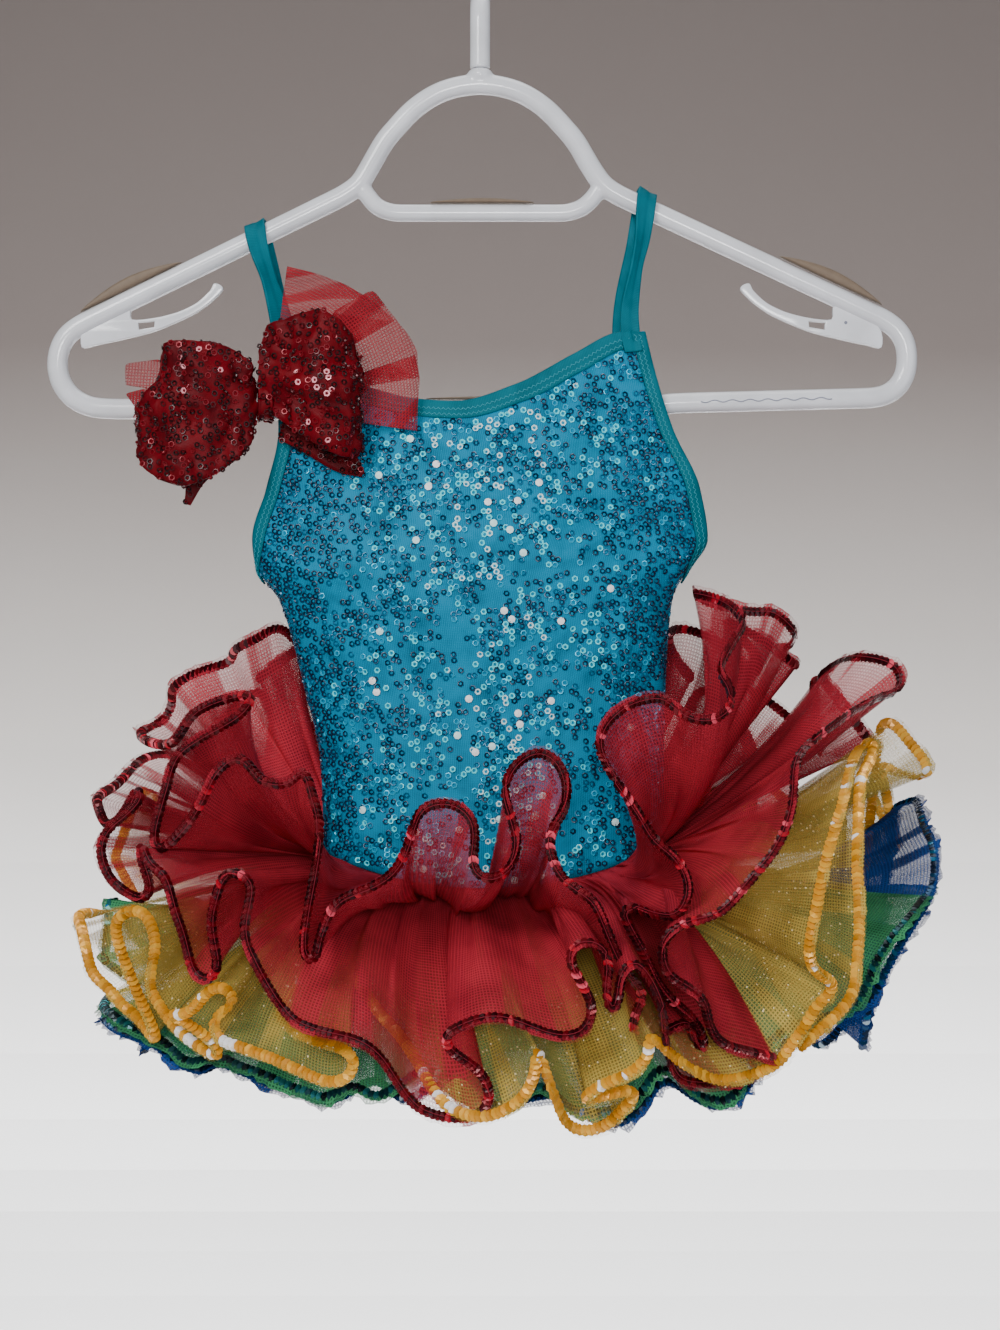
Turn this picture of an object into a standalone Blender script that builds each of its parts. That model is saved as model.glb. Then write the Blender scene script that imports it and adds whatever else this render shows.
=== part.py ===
"""Child's tutu costume hanging on a plastic hanger, as closed solids. Lengths in the tables are millimetres.

The origin is the inside top of the hanger's hook. +Z is up, the costume's front faces -Y, and its right-hand
side as seen from the front is +X.
"""

import math
from collections import namedtuple

import bmesh
import bpy
from mathutils import Vector

MM = 0.001
SEAM_GAP = 0.3
LAY_GAP = 0.9
BODICE_CLOTH = 1.4
BRIEF_CLOTH = 1.2
BINDING_CLOTH = 1.6
RUFFLE_CLOTH = 1.0
NET_CLOTH = 1.0
BOW_CLOTH = 1.3

# The costume was measured on its middle plane, from the front, at this distance and over this point.
VIEW_DISTANCE = 1300.0
VIEW_X = 9.6
VIEW_Z = -361.8

# Height, side seams or armhole edges, how far the middle of the front and of the back stands out, how far
# the open edge stands from the middle plane, and how round the side is: 0 at an open armhole, 1 at a seam.
Section = namedtuple("Section", "z left right front back rim roll")
SECTIONS = [
    Section(-190, -101, 76, 11, 11, 9.0, 0.0),
    Section(-220, -98, 83, 13, 12, 8.8, 0.0),
    Section(-249, -96, 92, 17, 15, 8.0, 0.0),
    Section(-278, -102, 105, 21, 18, 6.0, 0.1),
    Section(-301, -108, 108, 25, 21, 3.4, 0.5),
    Section(-316, -106, 99, 26, 22, 0.55, 1.0),
    Section(-331, -96, 92, 26, 22, 0.55, 1.0),
    Section(-369, -85, 89, 25, 23, 0.55, 1.0),
    Section(-412, -76, 88, 28, 27, 0.55, 1.0),
    Section(-450, -75, 89, 30, 31, 0.55, 1.0),
    Section(-470, -76, 89, 30, 32, 0.55, 1.0),
    Section(-505, -75, 87, 25, 28, 0.55, 1.0),
    Section(-530, -74, 85, 14, 17, 0.55, 1.0),
    Section(-545, -73, 83, 1.6, 2.0, 0.55, 1.0),
]
UNDERARM_Z = -316
ROUNDNESS = 2.4
NORMAL_STEP = 0.012

# Neck edges: place across the panel from -1 at the left edge to 1 at the right edge, and height.
NeckPoint = namedtuple("NeckPoint", "across z")
NECK_FRONT = [
    NeckPoint(-1.0, -212),
    NeckPoint(-0.86, -219),
    NeckPoint(-0.56, -229),
    NeckPoint(-0.27, -236),
    NeckPoint(-0.08, -237),
    NeckPoint(0.25, -229),
    NeckPoint(0.6, -214),
    NeckPoint(0.86, -203.5),
    NeckPoint(1.0, -202),
]
NECK_BACK = [
    NeckPoint(-1.0, -221),
    NeckPoint(-0.82, -226),
    NeckPoint(-0.5, -252),
    NeckPoint(0.0, -266),
    NeckPoint(0.5, -246),
    NeckPoint(0.82, -214),
    NeckPoint(1.0, -208),
]

# Skirt seam and leg edges.
SEAM_SIDE_Z = -449
SEAM_TILT = 2.0
SEAM_DIP_FRONT = 18.0
SEAM_DIP_BACK = 12.0
LEG_SIDE_Z = -500
CROTCH_Z = -545
CROTCH_HALF = 0.24
LEG_CURVE = 0.62

# Bindings: widths, the points along half an armhole, where it starts to turn under the arm, how far its band
# stands clear of the neck band, and where the neck and leg bands end.
ARMHOLE_BAND = 6.5
ARMHOLE_ALONG = (0.0, 0.17, 0.34, 0.5, 0.66, 0.76, 0.85, 0.92, 0.97, 1.0)
ARMHOLE_TOP_DROP = 2.0
ARMHOLE_TURN = 0.7
ARMHOLE_EASE = 0.4
NECK_BAND = 7.5
NECK_BAND_END = 0.86
NECK_BAND_STEPS = 16
LEG_BAND = 7.0
LEG_BAND_STEPS = 8
LEG_BAND_RISE = 1.0
LEG_BAND_FROM = CROTCH_HALF + 0.06
ACROSS_STEP = 0.02
PANEL_COLUMNS = 16
BODICE_ROWS = (0.0, 0.08, 0.18, 0.29, 0.37, 0.42, 0.455, 0.49, 0.53, 0.6, 0.7, 0.85, 1.0)
BRIEF_ROWS = (0.0, 0.25, 0.5, 0.75, 1.0)

# Ruffles, from the top one down: drop of its root below the skirt seam, cut width, how much narrower it is
# at the middle of the front, the lift of the cloth above level where it leaves the seam, at the left and
# the right, and the lift of the crests and valleys of the folds at the back, which the front hides.
Ruffle = namedtuple("Ruffle", "drop width front_less lift_left lift_right back_crest back_valley")
RUFFLES = {
    "ruffle_red_upper": Ruffle(0, 122, 0, 30, 44, 68, 46),
    "ruffle_red_lower": Ruffle(6, 133, 0, 6, 24, 42, 22),
    "ruffle_yellow": Ruffle(12, 134, 0, -14, 4, 18, 2),
    "ruffle_green": Ruffle(18, 135, 9, -32, -16, -4, -18),
    "ruffle_blue": Ruffle(24, 136, 19, -48, -34, -24, -38),
}

# One row for each fold that shows, from the left round the front to the right: its crest and the valley
# after it, as measured on the middle plane. A row that is behind lies on the back half.
Fold = namedtuple("Fold", "behind crest_x crest_z valley_x valley_z")
FOLDS = {
    "ruffle_red_upper": [
        Fold(1, -140, -367, -163, -398),
        Fold(0, -117, -379, -150, -447),
        Fold(0, -116, -406, -94, -419),
        Fold(0, -85, -411, -82, -503),
        Fold(0, -19, -429, 5, -465),
        Fold(0, 30, -404, 84, -544),
        Fold(0, 69, -478, 99, -479),
        Fold(0, 64, -389, 112, -389),
        Fold(1, 123, -334, 106, -350),
    ],
    "ruffle_red_lower": [
        Fold(1, -159, -411, -156, -451),
        Fold(0, -174, -420, -170, -472),
        Fold(0, -151, -462, -134, -516),
        Fold(0, -119, -460, -10, -579),
        Fold(0, 10, -532, 40, -542),
        Fold(0, 50, -492, 64, -529),
        Fold(0, 77, -516, 112, -564),
        Fold(0, 91, -492, 126, -474),
        Fold(0, 199, -360, 178, -379),
    ],
    "ruffle_yellow": [
        Fold(0, -191, -479, -157, -544),
        Fold(0, -167, -479, -133, -550),
        Fold(0, -123, -518, -76, -563),
        Fold(0, -65, -507, -19, -575),
        Fold(0, 26, -543, 41, -577),
        Fold(0, 81, -540, 106, -571),
        Fold(0, 126, -533, 149, -553),
        Fold(0, 182, -404, 160, -545),
        Fold(0, 199, -390, 219, -422),
    ],
    "ruffle_green": [
        Fold(0, -179, -518, -159, -547),
        Fold(0, -145, -538, -120, -561),
        Fold(0, -102, -553, -72, -571),
        Fold(0, -40, -562, -5, -582),
        Fold(0, 24, -564, 48, -588),
        Fold(0, 77, -558, 106, -574),
        Fold(0, 131, -553, 157, -543),
        Fold(0, 178, -490, 184, -526),
        Fold(0, 205, -451, 214, -475),
    ],
    "ruffle_blue": [
        Fold(0, -181, -526, -161, -553),
        Fold(0, -147, -545, -116, -568),
        Fold(0, -96, -561, -65, -574),
        Fold(0, -34, -570, 5, -586),
        Fold(0, 31, -573, 58, -590),
        Fold(0, 87, -568, 117, -577),
        Fold(0, 145, -552, 164, -545),
        Fold(0, 193, -504, 202, -499),
        Fold(0, 221, -451, 225, -473),
    ],
}
BACK_FOLDS = 7
LEAST_TURN = 3.5
LAYER_ROOM = 3.4
LAYER_EASE = 0.4
EDGE_STEPS = 4
BACK_STEPS = 3
RUFFLE_ROWS = (0.0, 0.22, 0.58, 1.0)
MOST_STEP = 4.0
ROOT_EASE = 0.15
ROOT_OUT = BODICE_CLOTH / 2 + SEAM_GAP + RUFFLE_CLOTH / 2 + ROOT_EASE
GUIDE_PART = 0.4
UNEVEN_LIFT = 3.0
UNEVEN_TURN = 0.25
EDGE_PLACES = 720


def clear_scene():
    """Removes the objects that a new file starts with."""
    for thing in list(bpy.data.objects):
        bpy.data.objects.remove(thing, do_unlink=True)


def linear(channel):
    """One sRGB channel, 0 to 1, as linear light."""
    return channel / 12.92 if channel <= 0.04045 else ((channel + 0.055) / 1.055) ** 2.4


def plain_material(name, colour, roughness):
    """A Principled material from an sRGB hex colour."""
    made = bpy.data.materials.new(name)
    made.use_nodes = True
    shader = made.node_tree.nodes["Principled BSDF"]
    rgb = [linear(int(colour[i : i + 2], 16) / 255) for i in (0, 2, 4)]
    shader.inputs["Base Color"].default_value = (*rgb, 1.0)
    shader.inputs["Roughness"].default_value = roughness
    shader.inputs["Metallic"].default_value = 0.0
    return made


def smooth_step(value):
    value = min(max(value, 0.0), 1.0)
    return value * value * (3 - 2 * value)


def read_table(rows, key, column, at):
    """A table's column as a smooth function of its key column, by cubic pieces with no overshoot."""
    rows = sorted(rows, key=lambda row: getattr(row, key))
    keys = [getattr(row, key) for row in rows]
    values = [getattr(row, column) for row in rows]
    at = min(max(at, keys[0]), keys[-1])
    place = max(i for i in range(len(keys) - 1) if keys[i] <= at)
    slopes = [(values[i + 1] - values[i]) / (keys[i + 1] - keys[i]) for i in range(len(keys) - 1)]

    def tangent(i):
        if i == 0:
            return slopes[0]
        if i == len(keys) - 1:
            return slopes[-1]
        before, after = slopes[i - 1], slopes[i]
        return 0.0 if before * after <= 0 else 2 * before * after / (before + after)

    span = keys[place + 1] - keys[place]
    t = (at - keys[place]) / span
    start, end = tangent(place) * span, tangent(place + 1) * span
    low, high = values[place], values[place + 1]
    return (
        (2 * t**3 - 3 * t**2 + 1) * low
        + (t**3 - 2 * t**2 + t) * start
        + (3 * t**2 - 2 * t**3) * high
        + (t**3 - t**2) * end
    )


def across_of(angle):
    """Place across a panel, -1 to 1, of an angle measured from the middle of its own side."""
    sine = math.sin(math.radians(angle))
    return math.copysign(abs(sine) ** (2 / ROUNDNESS), sine)


def angle_of(across):
    """The angle in degrees whose place across the panel is this."""
    return math.degrees(math.asin(math.copysign(abs(across) ** (ROUNDNESS / 2), across)))


def on_side(across, z, side):
    """A point of the leotard's middle surface. side is -1 for the front and 1 for the back."""
    row = {name: read_table(SECTIONS, "z", name, z) for name in Section._fields[1:]}
    middle = (row["left"] + row["right"]) / 2
    half = (row["right"] - row["left"]) / 2
    depth = row["front"] if side < 0 else row["back"]
    flat = 1 - across * across
    rounded = max(1 - abs(across) ** ROUNDNESS, 0.0) ** (1 / ROUNDNESS)
    swell = flat + (rounded - flat) * row["roll"]
    return Vector((middle + half * across, side * (row["rim"] + (depth - row["rim"]) * swell), z))


def moved_out(across, z, side, out):
    """The point of on_side, moved out from the cloth by out."""
    left = on_side(max(across - NORMAL_STEP, -1.0), z, side)
    right = on_side(min(across + NORMAL_STEP, 1.0), z, side)
    upper = on_side(across, z + 1, side)
    lower = on_side(across, z - 1, side)
    normal = (right - left).cross(upper - lower).normalized() * -side
    return on_side(across, z, side) + normal * out


def seam_z(across, side):
    """Height of the skirt seam."""
    dip = SEAM_DIP_FRONT if side < 0 else SEAM_DIP_BACK
    return SEAM_SIDE_Z + SEAM_TILT * across - dip * (1 - across * across)


def leg_z(across):
    """Height of the brief's lower edge: level at the crotch, then rising to the side."""
    along = max(abs(across) - CROTCH_HALF, 0.0) / (1 - CROTCH_HALF)
    return CROTCH_Z + (LEG_SIDE_Z - CROTCH_Z) * along**LEG_CURVE


def add_sheet(name, rows, thickness, material, ring=False):
    """A closed cloth wall round a grid of points, given as rows of Vectors in millimetres."""
    width = len(rows[0])
    points = [point * MM for row in rows for point in row]
    faces = []
    for r in range(len(rows) - 1):
        for c in range(width if ring else width - 1):
            after = (c + 1) % width
            faces.append((r * width + c, r * width + after, (r + 1) * width + after, (r + 1) * width + c))
    mesh = bpy.data.meshes.new(name)
    mesh.from_pydata(points, [], faces)
    mesh.materials.append(material)
    mesh.shade_smooth()
    made = bpy.data.objects.new(name, mesh)
    COSTUME.objects.link(made)
    wall = made.modifiers.new("Wall", "SOLIDIFY")
    wall.thickness = thickness * MM
    wall.offset = 0.0
    return made


def panel(name, top, bottom, side, downs, thickness, material):
    """A leotard panel between two edges, each a function of the place across it."""
    rows = []
    for down in downs:
        row = []
        for c in range(PANEL_COLUMNS + 1):
            across = across_of(-90 + 180 * c / PANEL_COLUMNS)
            z = top(across) + (bottom(across) - top(across)) * down
            row.append(on_side(across, z, side))
        rows.append(row if side < 0 else row[::-1])
    return add_sheet(name, rows, thickness, material)


def build_leotard(knit, plain):
    """The four panels. Those above and below the skirt seam leave the seam gap between them."""
    half_gap = SEAM_GAP / 2
    for word, side, neck in (("front", -1, NECK_FRONT), ("back", 1, NECK_BACK)):
        panel(
            "bodice_" + word,
            lambda across: read_table(neck, "across", "z", across),
            lambda across: seam_z(across, side) + half_gap,
            side,
            BODICE_ROWS,
            BODICE_CLOTH,
            knit,
        )
        panel(
            "brief_" + word,
            lambda across: seam_z(across, side) - half_gap,
            leg_z,
            side,
            BRIEF_ROWS,
            BRIEF_CLOTH,
            plain,
        )


BAND_OUT = BODICE_CLOTH / 2 + LAY_GAP + BINDING_CLOTH / 2


def build_neck_bindings(material):
    """A band along each neck edge, on the panel's outer face, between the two armhole bands."""
    for word, side, neck in (("front", -1, NECK_FRONT), ("back", 1, NECK_BACK)):
        rows = [[], [], []]
        for i in range(NECK_BAND_STEPS + 1):
            across = NECK_BAND_END * (2 * i / NECK_BAND_STEPS - 1)
            left, edge, right = (
                read_table(neck, "across", "z", across + step) for step in (-ACROSS_STEP, 0, ACROSS_STEP)
            )
            half = (read_table(SECTIONS, "z", "right", edge) - read_table(SECTIONS, "z", "left", edge)) / 2
            run = 2 * ACROSS_STEP * half
            steep = math.hypot(run, right - left) / run
            for r in range(3):
                z = edge - NECK_BAND * steep * r / 2
                rows[r].append(moved_out(across, z, side, BAND_OUT))
        if side > 0:
            rows = [row[::-1] for row in rows]
        add_sheet("neck_binding_" + word, rows, BINDING_CLOTH, material)


def armhole_point(end, side, along, inset):
    """A point of an armhole band. along is 0 at the strap and 1 at the underarm, inset is the distance in."""
    neck = NECK_FRONT if side < 0 else NECK_BACK
    top = read_table(neck, "across", "z", end) - ARMHOLE_TOP_DROP
    turn = math.radians(90 * smooth_step((along - ARMHOLE_TURN) / (1 - ARMHOLE_TURN)))
    z = top + (UNDERARM_Z - top) * along - inset * math.sin(turn)
    half = (read_table(SECTIONS, "z", "right", z) - read_table(SECTIONS, "z", "left", z)) / 2
    across = end * (1 - inset * math.cos(turn) / half)
    return moved_out(across, z, side, BAND_OUT + ARMHOLE_EASE)


def build_armhole_bindings(material):
    """One band each, from the front strap down round the underarm and up to the back strap."""
    for word, end in (("left", -1), ("right", 1)):
        rows = []
        for r in range(3):
            inset = ARMHOLE_BAND * r / 2
            front = [armhole_point(end, -1, along, inset) for along in ARMHOLE_ALONG]
            back = [armhole_point(end, 1, along, inset) for along in ARMHOLE_ALONG]
            rows.append(front + back[::-1])
        add_sheet("armhole_binding_" + word, rows, BINDING_CLOTH, material)


def build_leg_bindings(material):
    """One band each, from the crotch round the side and back to the crotch."""
    first = angle_of(LEG_BAND_FROM)
    out = BRIEF_CLOTH / 2 + LAY_GAP + BINDING_CLOTH / 2
    for word, end in (("left", -1), ("right", 1)):
        rows = []
        for r in range(3):
            rise = LEG_BAND * r / 2
            row = []
            for side in (-1, 1):
                half = []
                for i in range(LEG_BAND_STEPS + 1):
                    across = across_of(first + (90 - first) * i / LEG_BAND_STEPS)
                    half.append(moved_out(end * across, leg_z(across) + rise + LEG_BAND_RISE, side, out))
                row += half if side < 0 else half[::-1]
            rows.append(row)
        add_sheet("leg_binding_" + word, rows, BINDING_CLOTH, material)


# Straps: centre of the strip, how far its width is turned from the X axis and tipped up to the right, in
# degrees, and its width.
StrapPoint = namedtuple("StrapPoint", "x y z turn tip width")
STRAPS = {
    "strap_left": [
        StrapPoint(-93, -8.9, -214, 8, 0, 9.5),
        StrapPoint(-95, -9.2, -197, 20, 0, 12),
        StrapPoint(-100.5, -9.2, -178, 42, 0, 9.5),
        StrapPoint(-105.5, -8.6, -163, 22, 8, 9.5),
        StrapPoint(-108, -7.4, -152.5, 0, 22, 10),
        StrapPoint(-108.6, 0, -148.6, 0, 26, 10),
        StrapPoint(-106.8, 7.4, -152.5, 0, 22, 10),
        StrapPoint(-103.5, 8.8, -165, -10, 8, 10),
        StrapPoint(-98, 9.4, -186, -24, 0, 9.5),
        StrapPoint(-93, 9.2, -207, -10, 0, 9.5),
        StrapPoint(-91.5, 9.0, -221, -4, 0, 9),
    ],
    "strap_right": [
        StrapPoint(72.5, -9.2, -202.5, 0, 0, 9.5),
        StrapPoint(72, -9.3, -190, 10, 0, 9),
        StrapPoint(75, -9.0, -172, 38, 0, 8.5),
        StrapPoint(78, -8.6, -157, 30, -8, 9),
        StrapPoint(80, -7.8, -138.8, 4, -25, 9.5),
        StrapPoint(81, 0, -133.4, 0, -25, 9.5),
        StrapPoint(79, 7.8, -138.8, 0, -25, 9.5),
        StrapPoint(75.5, 8.8, -160, -12, -8, 9.5),
        StrapPoint(70.5, 9.2, -182, -26, 0, 9.5),
        StrapPoint(69, 9.3, -198, -10, 0, 9.5),
        StrapPoint(69, 9.2, -209, -2, 0, 9.5),
    ],
}
STRAP_CLOTH = 2.0


def neck_height(neck, x):
    """Height of a neck edge at this place across the costume."""
    z = neck[0].z
    for _ in range(6):
        left, right = (read_table(SECTIONS, "z", name, z) for name in ("left", "right"))
        across = (2 * x - left - right) / (right - left)
        z = read_table(neck, "across", "z", min(max(across, -1.0), 1.0))
    return z


def build_straps(material):
    """Each strap is a strip of three runs of points along its table, its ends just clear of the panels."""
    for name, rows in STRAPS.items():
        runs = [[], [], []]
        for row in rows:
            turn = math.radians(row.turn)
            wide = Vector((math.cos(turn), math.sin(turn), math.tan(math.radians(row.tip)))) * row.width / 2
            for run, part in zip(runs, (-1, 0, 1)):
                run.append(Vector((row.x, row.y, row.z)) + wide * part)
        for run in runs:
            run[0].z = neck_height(NECK_FRONT, run[0].x) + LAY_GAP
            run[-1].z = neck_height(NECK_BACK, run[-1].x) + LAY_GAP
        add_sheet(name, runs, STRAP_CLOTH, material)


def seen_at(point):
    """Where a point shows on the middle plane, from the place that the costume was measured from."""
    nearer = 1 + point.y / VIEW_DISTANCE
    return VIEW_X + (point.x - VIEW_X) / nearer, VIEW_Z + (point.z - VIEW_Z) / nearer


def half_way_round(angle):
    """The same angle between -180 and 180."""
    return (angle + 180) % 360 - 180


def root_point(angle, drop):
    """A ruffle's root at this bearing round the costume, just outside the cloth below the skirt seam."""
    angle = half_way_round(angle)
    side = -1 if abs(angle) <= 90 else 1
    own = angle if side < 0 else math.copysign(180 - abs(angle), angle)
    across = across_of(own)
    return moved_out(across, seam_z(across, side) - drop, side, ROOT_OUT)


def root_ring(drop):
    """The root at each whole degree, from -180."""
    return [root_point(degree - 180, drop) for degree in range(361)]


def on_ring(ring, angle):
    """A point between the whole degrees of a ring."""
    place = half_way_round(angle) + 180
    low = min(int(place), 359)
    return ring[low].lerp(ring[low + 1], place - low)


def reached(ring, width, angle, lift):
    """The point a cloth's width away from its root, at this bearing and this lift above level."""
    bearing, rise = math.radians(angle), math.radians(lift)
    level = Vector((math.sin(bearing), -math.cos(bearing), 0))
    return on_ring(ring, angle) + (level * math.cos(rise) + Vector((0, 0, math.sin(rise)))) * width


def width_at(ruffle, angle):
    """A ruffle's cut width at a bearing."""
    return ruffle.width - ruffle.front_less * max(math.cos(math.radians(angle)), 0.0)


def bearing_and_lift(ring, ruffle, x, z, behind):
    """The bearing and lift at which an edge point shows at x and z on the middle plane."""
    best = None
    for step in range(181):
        angle = -90 + step if not behind else 90 + step
        width = width_at(ruffle, angle)
        low, high = -80.0, 80.0
        for _ in range(14):
            middle = (low + high) / 2
            if seen_at(reached(ring, width, angle, middle))[1] < z:
                low = middle
            else:
                high = middle
        miss = abs(seen_at(reached(ring, width, angle, low))[0] - x)
        if best is None or miss < best[0]:
            best = (miss, half_way_round(angle), low)
    return best[1], best[2]


def fold_turns(name, ring):
    """A ruffle's crests and valleys all round, as (bearing, lift), from the first fold that shows."""
    ruffle = RUFFLES[name]
    turns = []
    for row in FOLDS[name]:
        for x, z in ((row.crest_x, row.crest_z), (row.valley_x, row.valley_z)):
            angle, lift = bearing_and_lift(ring, ruffle, x, z, row.behind)
            if turns:
                if angle < turns[-1][0] - 180:
                    angle += 360
                angle = max(angle, turns[-1][0] + LEAST_TURN)
            turns.append((angle, lift))
    first, last = turns[0][0] + 360, turns[-1][0]
    count = BACK_FOLDS * 2
    for i in range(count):
        lift = ruffle.back_crest if i % 2 == 0 else ruffle.back_valley
        uneven = UNEVEN_LIFT * math.sin(2.3 * i + ruffle.drop)
        part = (i + 1 + UNEVEN_TURN * math.sin(1.9 * i + ruffle.drop)) / (count + 1)
        turns.append((last + (first - last) * part, lift + uneven))
    return turns


def lift_at(turns, angle):
    """The lift of a ruffle's edge at a bearing, eased from each turn to the next."""
    start = turns[0][0]
    angle = start + (angle - start) % 360
    for i, (begin, lift) in enumerate(turns):
        end, following = turns[i + 1] if i + 1 < len(turns) else (start + 360, turns[0][1])
        if begin <= angle <= end:
            return lift + (following - lift) * smooth_step((angle - begin) / (end - begin))
    return turns[0][1]


def lift_between(lifts, angle):
    """The lift at a bearing, from lifts at even steps all round."""
    place = angle % 360 / 360 * EDGE_PLACES
    low = int(place)
    before, after = lifts[low % EDGE_PLACES], lifts[(low + 1) % EDGE_PLACES]
    return before + (after - before) * (place - low)


def kept_below(upper, lift, angle):
    """The lift, lowered where needed so that the edge keeps its room below the ruffle above."""
    for step in range(-4, 5):
        shift = LAYER_ROOM * step / 4
        room = math.sqrt(LAYER_ROOM**2 - shift**2) + LAYER_EASE
        lift = min(lift, lift_between(upper, angle + shift) - room)
    return lift


def ruffle_edges():
    """For each ruffle from the top: its root ring, its turns and its lifts at even steps all round."""
    edges = {}
    upper = None
    for name, ruffle in RUFFLES.items():
        ring = root_ring(ruffle.drop)
        turns = fold_turns(name, ring)
        bearings = [360 * i / EDGE_PLACES for i in range(EDGE_PLACES)]
        lifts = [lift_at(turns, bearing) for bearing in bearings]
        if upper:
            lifts = [kept_below(upper, lift, bearing) for lift, bearing in zip(lifts, bearings)]
        upper = lifts
        edges[name] = (ring, turns, lifts)
    return edges


def ruffle_profile(name, ring, angle, lift):
    """The root, the guide and the edge point of a ruffle's cloth at one bearing."""
    ruffle = RUFFLES[name]
    root = on_ring(ring, angle)
    rightness = (1 + math.sin(math.radians(angle))) / 2
    start = ruffle.lift_left + (ruffle.lift_right - ruffle.lift_left) * rightness
    width = width_at(ruffle, angle)
    return root, reached(ring, width * GUIDE_PART, angle, start), reached(ring, width, angle, lift)


def build_ruffles(materials):
    for name, (ring, turns, lifts) in ruffle_edges().items():
        columns = []
        for i, (angle, _) in enumerate(turns):
            following = turns[i + 1][0] if i + 1 < len(turns) else turns[0][0] + 360
            least = EDGE_STEPS if i < len(FOLDS[name]) * 2 else BACK_STEPS
            steps = max(least, math.ceil((following - angle) / MOST_STEP))
            for k in range(steps):
                place = angle + (following - angle) * k / steps
                columns.append(ruffle_profile(name, ring, place, lift_between(lifts, place)))
        rows = []
        for v in RUFFLE_ROWS:
            rows.append([r * (1 - v) ** 2 + g * 2 * v * (1 - v) + e * v**2 for r, g, e in columns])
        add_sheet(name, rows, RUFFLE_CLOTH, materials[name], ring=True)


# The hanger: points of the frame's centre line from the top of the arch, clockwise as seen from the front.
TubePoint = namedtuple("TubePoint", "x z")
FRAME_TUBE = 5.0
FRAME_LINE = [
    TubePoint(0, -81.8),
    TubePoint(10, -82.8),
    TubePoint(19.3, -85.6),
    TubePoint(27, -90),
    TubePoint(33.7, -95.3),
    TubePoint(45.8, -108.8),
    TubePoint(53, -121.5),
    TubePoint(59, -130.6),
    TubePoint(66, -135.2),
    TubePoint(195.2, -195.5),
    TubePoint(201, -199.7),
    TubePoint(205, -206),
    TubePoint(206, -213.9),
    TubePoint(205.2, -221.5),
    TubePoint(201.5, -228),
    TubePoint(196, -231.8),
    TubePoint(190, -233.1),
    TubePoint(95, -235.6),
    TubePoint(52, -239.2),
    TubePoint(-60, -239.2),
    TubePoint(-178.3, -238.4),
    TubePoint(-188.5, -237.6),
    TubePoint(-197, -233),
    TubePoint(-202.2, -226),
    TubePoint(-204.1, -217.7),
    TubePoint(-203, -209.5),
    TubePoint(-199.2, -202.6),
    TubePoint(-192.8, -198),
    TubePoint(-66, -135.7),
    TubePoint(-58, -130.4),
    TubePoint(-53, -121.5),
    TubePoint(-45.8, -108.8),
    TubePoint(-33.7, -95.3),
    TubePoint(-27, -90),
    TubePoint(-19.3, -85.6),
    TubePoint(-10, -82.8),
]
HANDLE_TUBE = 4.2
HANDLE_LINE = [
    TubePoint(-57, -131.5),
    TubePoint(-53, -137.5),
    TubePoint(-49, -141.8),
    TubePoint(-42, -144),
    TubePoint(42, -144),
    TubePoint(49, -141.8),
    TubePoint(54, -137.5),
    TubePoint(58, -131.5),
]
COLLAR_TUBE = 6.2
COLLAR_TOP = -74.4
COLLAR_FOOT = -81.0

# The hook, in the plane x = 0: a straight shank, a fillet and an arc whose top inside is the origin.
HOOK_TUBE = 4.8
HOOK_RADIUS = 23.5
HOOK_FOOT = COLLAR_TOP + SEAM_GAP
FILLET_RADIUS = 12.0
FILLET_END = 70.2
HOOK_TIP = 200.0

# The blade-like hooks under the arms, for thin straps, with a slot in each: outline points for the left one.
BLADE_HALF = 2.0
BLADE_LINE = [
    TubePoint(-128.2, -178.2),
    TubePoint(-125.3, -178.7),
    TubePoint(-123.9, -181.1),
    TubePoint(-130.1, -187.4),
    TubePoint(-139.3, -193.6),
    TubePoint(-156.2, -200.9),
    TubePoint(-170.6, -204.7),
    TubePoint(-184.1, -207.6),
    TubePoint(-191.8, -208.8),
    TubePoint(-190.0, -198.5),
    TubePoint(-169.7, -188.8),
    TubePoint(-167.7, -195.4),
    TubePoint(-156.2, -194.6),
    TubePoint(-145.1, -191.7),
    TubePoint(-136.4, -187.4),
    TubePoint(-130.1, -181.6),
]
SLOT_LINE = [
    TubePoint(-164.8, -196.9),
    TubePoint(-156.6, -196.2),
    TubePoint(-156.9, -199.1),
    TubePoint(-164.3, -200.4),
]
BLADE_SHIFT_RIGHT = 1.5

# Grips: soft pads lying on the frame, each from one end to the other, with its thickness at the middle.
Grip = namedtuple("Grip", "from_x from_z to_x to_z thick")
GRIPS = {
    "grip_left": Grip(-192.5, -191.9, -143.6, -167.9, 5.2),
    "grip_right": Grip(144.1, -165.1, 193.5, -188.4, 5.2),
    "grip_handle": Grip(-24, -139.3, 26, -139.3, 2.3),
    "grip_bar": Grip(-26, -233.8, 40, -233.8, 1.4),
}
GRIP_HALF = 3.4
GRIP_STEPS = 10
GRIP_THIN = 0.5


def placed(x, z, y):
    """The point at depth y that shows at x and z on the middle plane."""
    nearer = 1 + y / VIEW_DISTANCE
    return Vector((VIEW_X + (x - VIEW_X) * nearer, y, VIEW_Z + (z - VIEW_Z) * nearer))


def tube(name, points, radius, material, collection, closed=False):
    """A round tube along points, as a curve."""
    curve = bpy.data.curves.new(name, "CURVE")
    curve.dimensions = "3D"
    curve.bevel_depth = radius * MM
    curve.bevel_resolution = 2
    curve.use_fill_caps = not closed
    spline = curve.splines.new("POLY")
    spline.points.add(len(points) - 1)
    for place, point in zip(spline.points, points):
        place.co = (*(point * MM), 1.0)
    spline.use_cyclic_u = closed
    curve.materials.append(material)
    made = bpy.data.objects.new(name, curve)
    collection.objects.link(made)
    return made


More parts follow.
